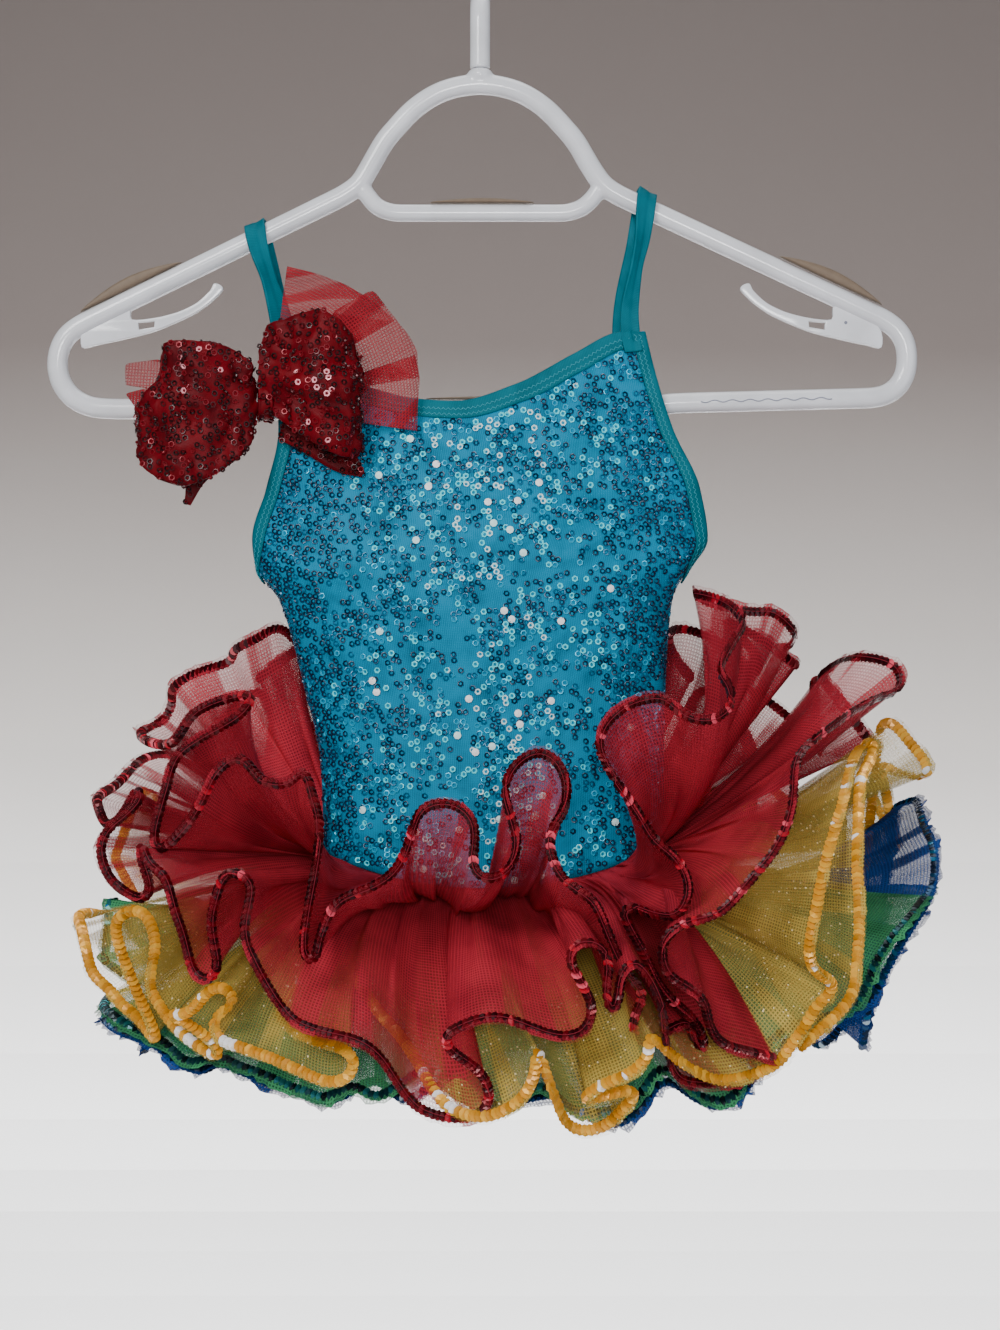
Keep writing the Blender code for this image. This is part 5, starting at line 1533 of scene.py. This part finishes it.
def band_grid(edge_point, count, band, wrap):
    """A folded strip over an edge: its inside, the fold over the edge, and its outside.

    edge_point gives the point of the leotard at a place along the edge, this far in from it and this far out.
    """
    profile = [(band, -wrap), (band * 0.5, -wrap), (0.3, -wrap), (-0.5, -wrap * 0.6), (-0.8, 0.0)]
    profile += [(-0.5, wrap * 0.6), (0.3, wrap)]
    parts = (0.2, 0.38, 0.55, 0.72, 0.88, 1.0)
    profile += [(band * part, wrap + 0.12 * math.sin(6.28 * part)) for part in parts]
    along = np.linspace(0, 1, count)
    return np.array([edge_point(along, inset, out) for inset, out in profile])


def stitch_rows(grid, band_rows, facing):
    """Points, facings and runs of the zigzag stitches over a band's outer face."""
    out = [[], [], []]
    for part in band_rows:
        place = OUTER_ROW + part * (len(grid) - 1 - OUTER_ROW)
        low = int(place)
        line = grid[low] + (grid[min(low + 1, len(grid) - 1)] - grid[low]) * (place - low)
        run = lengths_along(line)
        even = np.arange(STITCH_MARGIN, run[-1] - STITCH_MARGIN, STITCH_LENGTH * STITCH_PITCH)
        centre = at_places(line, run, even)
        ahead = unit(np.gradient(centre, axis=0))
        normal = grid_normals(grid)[low]
        face = unit(at_places(normal, run, even))
        face *= np.sign((face * facing(centre)).sum(-1, keepdims=True) + 1e-9)
        side = np.cross(face, ahead)
        zigzag = np.where(np.arange(len(even)) % 2 == 0, 1.0, -1.0)[:, None]
        out[0].append(centre + face * (BAND_CLOTH / 2 + STITCH_LIFT))
        out[1].append(face)
        out[2].append(unit(ahead + side * zigzag * STITCH_ZIGZAG))
    return [np.concatenate(part) for part in out]


def from_inside(points):
    """Away from the middle plane, the way the leotard's faces look."""
    return np.stack([np.zeros(len(points)), np.sign(points[:, 1]), np.zeros(len(points))], -1)


def neck_edge(side, neck):
    """Points of a neck edge, from one armhole to the other."""

    def point(along, inset, out):
        across = -NECK_REACH + 2 * NECK_REACH * along
        step = 0.02
        slope = (neck_at(neck, across + step) - neck_at(neck, across - step)) / (2 * step * NECK_HALF)
        z = neck_at(neck, across) - inset * np.sqrt(1 + slope**2)
        return moved_out(across, z, side, out)

    return point


def armhole_edge(end):
    """Points of an armhole edge, from the front strap down round the underarm and up to the back strap."""

    def point(along, inset, out):
        half = np.abs(along - 0.5) * 2
        side = np.where(along <= 0.5, -1, 1)
        down = 1 - half
        top = np.where(side < 0, neck_at(NECK_FRONT, end), neck_at(NECK_BACK, end)) - 0.5
        turn = np.radians(90 * smooth_step((down - TURN_FROM) / (1 - TURN_FROM)))
        z = top + (UNDERARM_Z - top) * down - inset * np.sin(turn)
        wide = (section_at("right", z) - section_at("left", z)) / 2
        across = end * (1 - np.clip(inset, -0.2, 99) * np.cos(turn) / wide)
        return moved_out(np.clip(across, -1, 1), z, side, out)

    return point


def leg_edge(end):
    """Points of a leg edge, from the front of the crotch round the side to the back."""

    def point(along, inset, out):
        side = np.where(along <= 0.5, -1, 1)
        down = np.abs(along - 0.5) * 2
        first = 30.0
        across = across_of(90 - (90 - first) * down)
        return moved_out(end * across, leg_z(across) + inset, side, out)

    return point


def strap_grid(rows, count=13):
    """A strap's folded strip: slightly arched, with one half lying over the other along a crease."""
    table = through(rows, 9)
    centre = table[:, :3]
    turn, tip, width = np.radians(table[:, 3]), np.radians(table[:, 4]), table[:, 5]
    wide = unit(np.stack([np.cos(turn), np.sin(turn), np.tan(tip)], -1))
    along = unit(np.gradient(centre, axis=0))
    wide = unit(wide - along * (wide * along).sum(-1, keepdims=True))
    thick = np.cross(along, wide)
    part = np.linspace(-1, 1, count)[:, None]
    rise = STRAP_ARCH * (1 - part**2) + STRAP_FOLD * smooth_step(part * 6 + 0.5)
    lifted = thick[None] * (rise + 0 * width)[..., None]
    return centre[None] + wide[None] * (part * width / 2)[..., None] + lifted


def crumpled(grid, amount, scale, seed):
    """The grid moved along its normals by soft and sharp creases."""
    normal = grid_normals(grid)
    push = np.empty(grid.shape[:2])
    for index in np.ndindex(*grid.shape[:2]):
        x, y, z = grid[index]
        place = Vector((x, y, z)) * scale + Vector((seed, 0, 0))
        ridge = 1 - abs(noise.noise(place * 1.7)) * 2
        push[index] = noise.noise(place) * 0.8 + (ridge - 0.4) * 0.5
    return grid + normal * (push * amount)[..., None]


def loop_grid(rows, count=46, heights=22):
    """A bow loop's cloth: its front from the knot outwards, round its end and back to the knot."""
    x = [row.x for row in rows]
    reach = 0.5 - 0.5 * np.cos(np.pi * np.linspace(0, 1, count))
    across = rows[0].x + (rows[-1].x - rows[0].x) * reach
    up = np.linspace(0, 1, heights)[:, None]
    halves = []
    for word, bulge in LOOP_BULGE.items():
        columns = ([getattr(row, name) for row in rows] for name in ("top", "bottom", word))
        top, bottom, y = (smooth_table(x, values, across) for values in columns)
        z = bottom + (top - bottom) * up
        depth = y + bulge * np.sin(np.pi * up)
        halves.append(placed(across[None] + 0 * z, z, depth))
    grid = np.concatenate([halves[0], halves[1][:, -2::-1]], axis=1)
    from_knot = np.abs(grid[..., 0] - (KNOT_FROM + KNOT_TO) / 2)
    angle = np.arctan2(grid[..., 2] - KNOT_Z, from_knot + PLEATS_MEET)
    far = smooth_step(from_knot / PLEATS_FULL)
    pleat = np.sin(angle * PLEATS) * far * (1 - 0.5 * far)
    grid = grid + grid_normals(grid) * (pleat * PLEAT_DEPTH)[..., None]
    return crumpled(grid, amount=4.6, scale=0.06, seed=rows[0].x)


def knot_grid(columns=44, count=12):
    """The strip round the loops' middle, drawn in at its own middle."""
    at = np.linspace(0.03, 2 * np.pi - 0.03, columns) + np.pi / 2
    x = np.linspace(KNOT_FROM, KNOT_TO, count)[:, None]
    waist = 1 - 0.1 * np.sin(np.pi * np.linspace(0, 1, count))[:, None]
    z = KNOT_Z + KNOT_TALL * waist * np.cos(at)
    return placed(x + 0 * at, z, KNOT_Y - KNOT_DEEP * waist * np.sin(at))


def net_grid(rows, heights=12):
    """Pleated net: laid in flat folds that double back on themselves, running out from behind the knot."""
    table = np.array(rows, float)
    places = np.linspace(0, len(rows) - 1, (len(rows) - 1) * NET_STEPS + 1)
    table = at_places(table, np.arange(len(rows)), places)
    table[:, :3] = blurred(table[:, :3], 0.8)
    out = np.linspace(0, 1, heights)[:, None, None]
    end, start = table[None, :, :3], table[None, :, 3:]
    grid = start + (end - start) * out
    return placed(grid[..., 0], grid[..., 1], grid[..., 2])


def tail_grid(rows, across=9):
    """A bow tail: a tapering strip."""
    table = through(rows, 7)
    ahead = unit(np.gradient(table[:, :2], axis=0))
    step = np.linspace(-0.5, 0.5, across)[:, None] * table[None, :, 2]
    x = table[None, :, 0] - ahead[None, :, 1] * step
    z = table[None, :, 1] + ahead[None, :, 0] * step
    return placed(x, z, table[None, :, 3] + 0 * x)


class TUTU_OT_bindings(bpy.types.Operator):
    """Makes the neck, armhole and leg bindings and the straps, with their stitching"""

    bl_idname = "tutu.bindings"
    bl_label = "Bindings and straps"

    def execute(self, context):
        ends = [(-STITCH_LENGTH / 2, 0, 0), (STITCH_LENGTH / 2, 0, 0)]
        stitch = link("stitch", rings_mesh("stitch", [tube(ends, STITCH_THICK / 2, 4)]))
        bands = [
            ("neck_binding_front", neck_edge(-1, NECK_FRONT), 90, NECK_BAND),
            ("neck_binding_back", neck_edge(1, NECK_BACK), 90, NECK_BAND),
            ("armhole_binding_left", armhole_edge(-1), 150, ARMHOLE_BAND),
            ("armhole_binding_right", armhole_edge(1), 150, ARMHOLE_BAND),
            ("leg_binding_left", leg_edge(-1), 90, LEG_BAND),
            ("leg_binding_right", leg_edge(1), 90, LEG_BAND),
        ]
        for number, (name, edge, count, band) in enumerate(bands):
            wrap = KNIT / 2 + BAND_CLOTH / 2 + (0.5 if "armhole" in name else 0.1)
            grid = band_grid(edge, count, band, wrap)
            piece = shell(name + "_cloth", grid, BAND_CLOTH, finishes("plain"))
            rows = stitch_rows(grid, STITCH_ROWS, from_inside)
            finish = finishes("stitches")
            lie = {"tilt": STITCH_TILT, "lean": 0.0, "seed": number}
            sewn = string_on(name + "_stitches", *rows, stitch, finish, **lie)
            hand_over(sewn)
            hand_over(piece, [name])
        for name, rows in STRAPS.items():
            grid = strap_grid(rows)
            piece = shell(name + "_cloth", grid, STRAP_THICK, finishes("plain"))
            hand_over(piece, [name])
        bpy.data.objects.remove(stitch, do_unlink=True)
        return {"FINISHED"}


class TUTU_OT_bow(bpy.types.Operator):
    """Makes the sequinned bow with its tails and the net behind it"""

    bl_idname = "tutu.bow"
    bl_label = "Bow"

    def execute(self, context):
        ring = ring_mesh("bow_sequin", sizes().sequin / MM / 2, hole=0.7, thick=0.28, cup=0.5)
        grids = {name: loop_grid(rows) for name, rows in LOOPS.items()}
        grids["bow_knot"] = crumpled(knot_grid(), amount=1.6, scale=0.12, seed=5)
        for name, rows in TAILS.items():
            grids[name] = crumpled(tail_grid(rows), amount=1.2, scale=0.1, seed=rows[0].x)
        for number, (name, grid) in enumerate(grids.items()):
            centre = grid.mean((0, 1))
            if name.startswith("bow_tail"):
                grid = outward(grid, (0, -1, 0))
            else:
                grid = outward(grid, grid - centre)
            piece = shell(name + "_cloth", grid, BOW_CLOTH, finishes("satin"))
            ground = grid + grid_normals(grid) * (BOW_CLOTH / 2 + SEQUIN_LIFT)
            finish = finishes("bow sequins")
            spread = {"spacing": BOW_SPACING, "most": BOW_MOST, "tilt": 0.4, "seed": 40 + number}
            sequins = scatter_on(name + "_sequins", ground, 1.0, ring, finish, **spread)
            hand_over(sequins)
            if name == "bow_knot":
                size = (metres_along(grid[0]), KNOT_STRIP * MM)
            else:
                size = (metres_along(grid[len(grid) // 2]), metres_along(grid[:, BOW_MEASURED]))
            size = tuple(max(side, SHEET_LEAST * MM) for side in size)
            hand_over(piece, [name])
        for name, rows in NETS.items():
            grid = net_grid(rows)
            piece = shell(name + "_cloth", grid, NET, finishes("tulle"))
            size = (metres_along(grid[-1]), metres_along(grid[:, NET_MEASURED]))
            hand_over(piece, [name])
        bpy.data.objects.remove(ring, do_unlink=True)
        return {"FINISHED"}


def rounded_line(points, closed, spread, step=0.8):
    """A line through corner points, stepped evenly and with its corners eased."""
    points = np.array([(point.x, 0.0, point.z) for point in points], float)
    if closed:
        points = np.concatenate([points, points[:1]])
    line = evened(points, int(lengths_along(points)[-1] / step), closed)
    if not closed:
        return blurred(line, spread / step)
    wrap = 40
    longer = np.concatenate([line[-wrap:], line, line[:wrap]])
    return blurred(longer, spread / step)[wrap:-wrap]


def plate_mesh(name, outlines, half, bevel):
    """A flat plate facing the front, from its outline and those of its holes, with its edges eased."""
    curve = bpy.data.curves.new(name, "CURVE")
    curve.dimensions = "2D"
    curve.fill_mode = "BOTH"
    curve.extrude = (half - bevel) * MM
    curve.bevel_depth = bevel * MM
    curve.bevel_resolution = 2
    curve.offset = -bevel * MM
    for outline in outlines:
        spline = curve.splines.new("POLY")
        spline.points.add(len(outline) - 1)
        for place, (x, z) in zip(spline.points, outline):
            place.co = (x * MM, z * MM, 0.0, 1.0)
        spline.use_cyclic_u = True
    holder = bpy.data.objects.new(name, curve)
    bpy.context.scene.collection.objects.link(holder)
    mesh = evaluated(holder)
    for vertex in mesh.vertices:
        x, z, y = vertex.co
        vertex.co = (x, -y, z)
    return faced(mesh, 1e-6)


def eased_outline(points, mirror, shift, steps=4):
    """An outline with soft corners, as on the left or mirrored."""
    line = np.array([(point.x * mirror + shift, point.z) for point in points], float)
    looped = np.concatenate([line[-1:], line, line[:2]])
    t = (np.arange(steps) / steps)[:, None, None]
    a, b, c, d = looped[:-3], looped[1:-2], looped[2:-1], looped[3:]
    tight = 0.4
    curve = b + tight * (c - a) * t
    curve = curve + (2 * tight * a + (tight - 3) * b + (3 - 2 * tight) * c - tight * d) * t**2
    curve = curve + (-tight * a + (2 - tight) * b + (tight - 2) * c + tight * d) * t**3
    return curve.transpose(1, 0, 2).reshape(-1, 2)


def joined(name, meshes):
    """Several meshes as one object."""
    merger = bmesh.new()
    for mesh in meshes:
        merger.from_mesh(mesh)
    whole = bpy.data.meshes.new(name)
    merger.to_mesh(whole)
    merger.free()
    return link(name, whole)


def moulded_mesh():
    """The arms, the handle bar and the collar as one moulding with eased joints."""
    places = np.linspace(COLLAR_TOP, COLLAR_FOOT, len(COLLAR_SWELL))
    collar = np.stack([0 * places, 0 * places, places], -1)
    frame_line = rounded_line(FRAME_LINE, True, FRAME_SPREAD)
    handle = rounded_line(HANDLE_LINE, False, HANDLE_SPREAD)
    meshes = [
        rings_mesh("arms", [tube(frame_line, FRAME_TUBE, TUBE_SIDES, True)], closed=True),
        rings_mesh("handle", [tube(handle, HANDLE_TUBE, TUBE_SIDES)]),
        rings_mesh("collar", [tube(collar, COLLAR_TUBE * np.array(COLLAR_SWELL), TUBE_SIDES)]),
    ]
    piece = joined("hanger_moulding", meshes)
    voxels = piece.modifiers.new("Mould", "REMESH")
    voxels.mode = "VOXEL"
    voxels.voxel_size = VOXEL * MM
    easing = piece.modifiers.new("Ease", "SMOOTH")
    easing.factor = 0.5
    easing.iterations = 4
    return evaluated(piece)


def blade_meshes():
    """The hooks under the arms, the right one mirrored."""
    meshes = []
    for mirror, shift in ((1, 0.0), (-1, BLADE_SHIFT_RIGHT)):
        slot = np.array([(point.x * mirror + shift, point.z) for point in SLOT_LINE])
        outline = eased_outline(BLADE_LINE, mirror, shift)
        meshes.append(plate_mesh("blade", [outline, slot], BLADE_HALF, BLADE_BEVEL))
    return meshes


def mark_tubes():
    """The wavy line on the bottom bar and the round mark on the right hook, as tubes whose grey paints their
    shade.
    """
    across = np.linspace(GROOVE_FROM, GROOVE_TO, 90)
    wave = GROOVE_Z + GROOVE_RISE * across + GROOVE_WAVE * np.sin(2 * np.pi * across / GROOVE_PITCH)
    line = np.stack([across, np.full_like(across, -FRAME_TUBE), wave], -1)
    mark = np.array([(MARK_X, -BLADE_HALF - reach, MARK_Z) for reach in (-0.1, 0.1)])
    return [tube(line, GROOVE_RADIUS, 6), tube(mark, MARK_RADIUS, 12)]


def hook_tube():
    """The hook's rod: up from the collar, out along a fillet, round the hook and to a rounded tip."""
    centre = np.array([0, 0, HOOK_TUBE - HOOK_RADIUS])
    turn = math.radians(FILLET_END)
    bend = centre + (HOOK_RADIUS + FILLET_RADIUS) * np.array([0, math.cos(turn), -math.sin(turn)])
    fillet = np.radians(np.linspace(180, 180 - FILLET_END, 14))
    arc = np.radians(np.linspace(-FILLET_END, HOOK_TIP, 60))[1:]
    line = [np.array([[0, 0, z] for z in np.linspace(HOOK_FOOT, bend[2], 10)[:-1]])]
    line.append(bend + FILLET_RADIUS * np.stack([0 * fillet, np.cos(fillet), np.sin(fillet)], -1))
    line.append(centre + HOOK_RADIUS * np.stack([0 * arc, np.cos(arc), np.sin(arc)], -1))
    line = np.concatenate(line)
    length = lengths_along(line)[-1]
    left = (length - np.linspace(0, length, HOOK_RINGS)) / HOOK_TUBE
    radius = HOOK_TUBE * np.sqrt(np.clip(1 - (1 - np.clip(left, 0.02, 1)) ** 2, 0, 1))
    return tube(evened(line, HOOK_RINGS), radius, 32)


def grip_rings(grip, count=40, sides=20):
    """A soft pad with a flattened section and thin ends."""
    run = np.array([grip.to_x - grip.from_x, 0, grip.to_z - grip.from_z])
    up = np.array([-run[2], 0, run[0]]) / np.linalg.norm(run)
    part = 0.5 - 0.5 * np.cos(np.pi * np.linspace(0, 1, count))
    high = 0.5 + (grip.thick - 0.5) * np.sin(np.pi * part)
    close = np.sqrt(np.clip(1 - (2 * part - 1) ** 12, 0.02, 1))
    at = 2 * np.pi * np.arange(sides) / sides
    flat, tall = (np.sign(wave) * np.abs(wave) ** 0.6 for wave in (np.cos(at), np.sin(at)))
    middle = np.array([grip.from_x, 0, grip.from_z]) + run * part[:, None] + up * (high / 2)[:, None]
    rings = middle[:, None] + up * (tall[None] * (high * close / 2)[:, None])[..., None]
    return rings + np.array([0, 1, 0]) * (flat[None] * (GRIP_HALF * close)[:, None])[..., None]


class TUTU_OT_hanger(bpy.types.Operator):
    """Makes the moulded hanger, its hook and its soft grips"""

    bl_idname = "tutu.hanger"
    bl_label = "Hanger"

    def execute(self, context):
        piece = joined("hanger_moulding", [moulded_mesh(), *blade_meshes()])
        piece.data.materials.append(finishes("plastic"))
        piece.data.shade_smooth()
        hand_over(piece, ["hanger_frame"])
        # The mould marks in grey: painted shade of the groove and the mark on the white plastic.
        piece = link("mould_marks", rings_mesh("mould_marks", mark_tubes()), finishes("mould line"))
        hand_over(piece)
        piece = link("hook_rod", rings_mesh("hook_rod", [hook_tube()]), finishes("plastic"))
        hand_over(piece, ["hook"])
        for name, grip in GRIPS.items():
            piece = link(name + "_pad", rings_mesh(name + "_pad", [grip_rings(grip)]), finishes("rubber"))
            hand_over(piece, [name])
        return {"FINISHED"}


class TUTU_PT_panel(bpy.types.Panel):
    """Lists the costume's pieces"""

    bl_label = "Tutu costume"
    bl_idname = "TUTU_PT_panel"
    bl_space_type = "VIEW_3D"
    bl_region_type = "UI"
    bl_category = "Tutu costume"

    def draw(self, context):
        for name in CostumeSizes.__annotations__:
            self.layout.prop(context.scene.tutu_costume, name)
        for operator in OPERATORS:
            self.layout.operator(operator.bl_idname)


OPERATORS = (TUTU_OT_stage, TUTU_OT_leotard, TUTU_OT_bindings, TUTU_OT_ruffles, TUTU_OT_bow, TUTU_OT_hanger)
CLASSES = (CostumeSizes, *OPERATORS, TUTU_PT_panel)


def register():
    for made in CLASSES:
        bpy.utils.register_class(made)
    bpy.types.Scene.tutu_costume = bpy.props.PointerProperty(type=CostumeSizes)


def unregister():
    del bpy.types.Scene.tutu_costume
    for made in reversed(CLASSES):
        bpy.utils.unregister_class(made)


def main():
    register()
    for operator in OPERATORS:
        getattr(bpy.ops.tutu, operator.bl_idname.split(".")[1])()


if __name__ == "__main__":
    main()
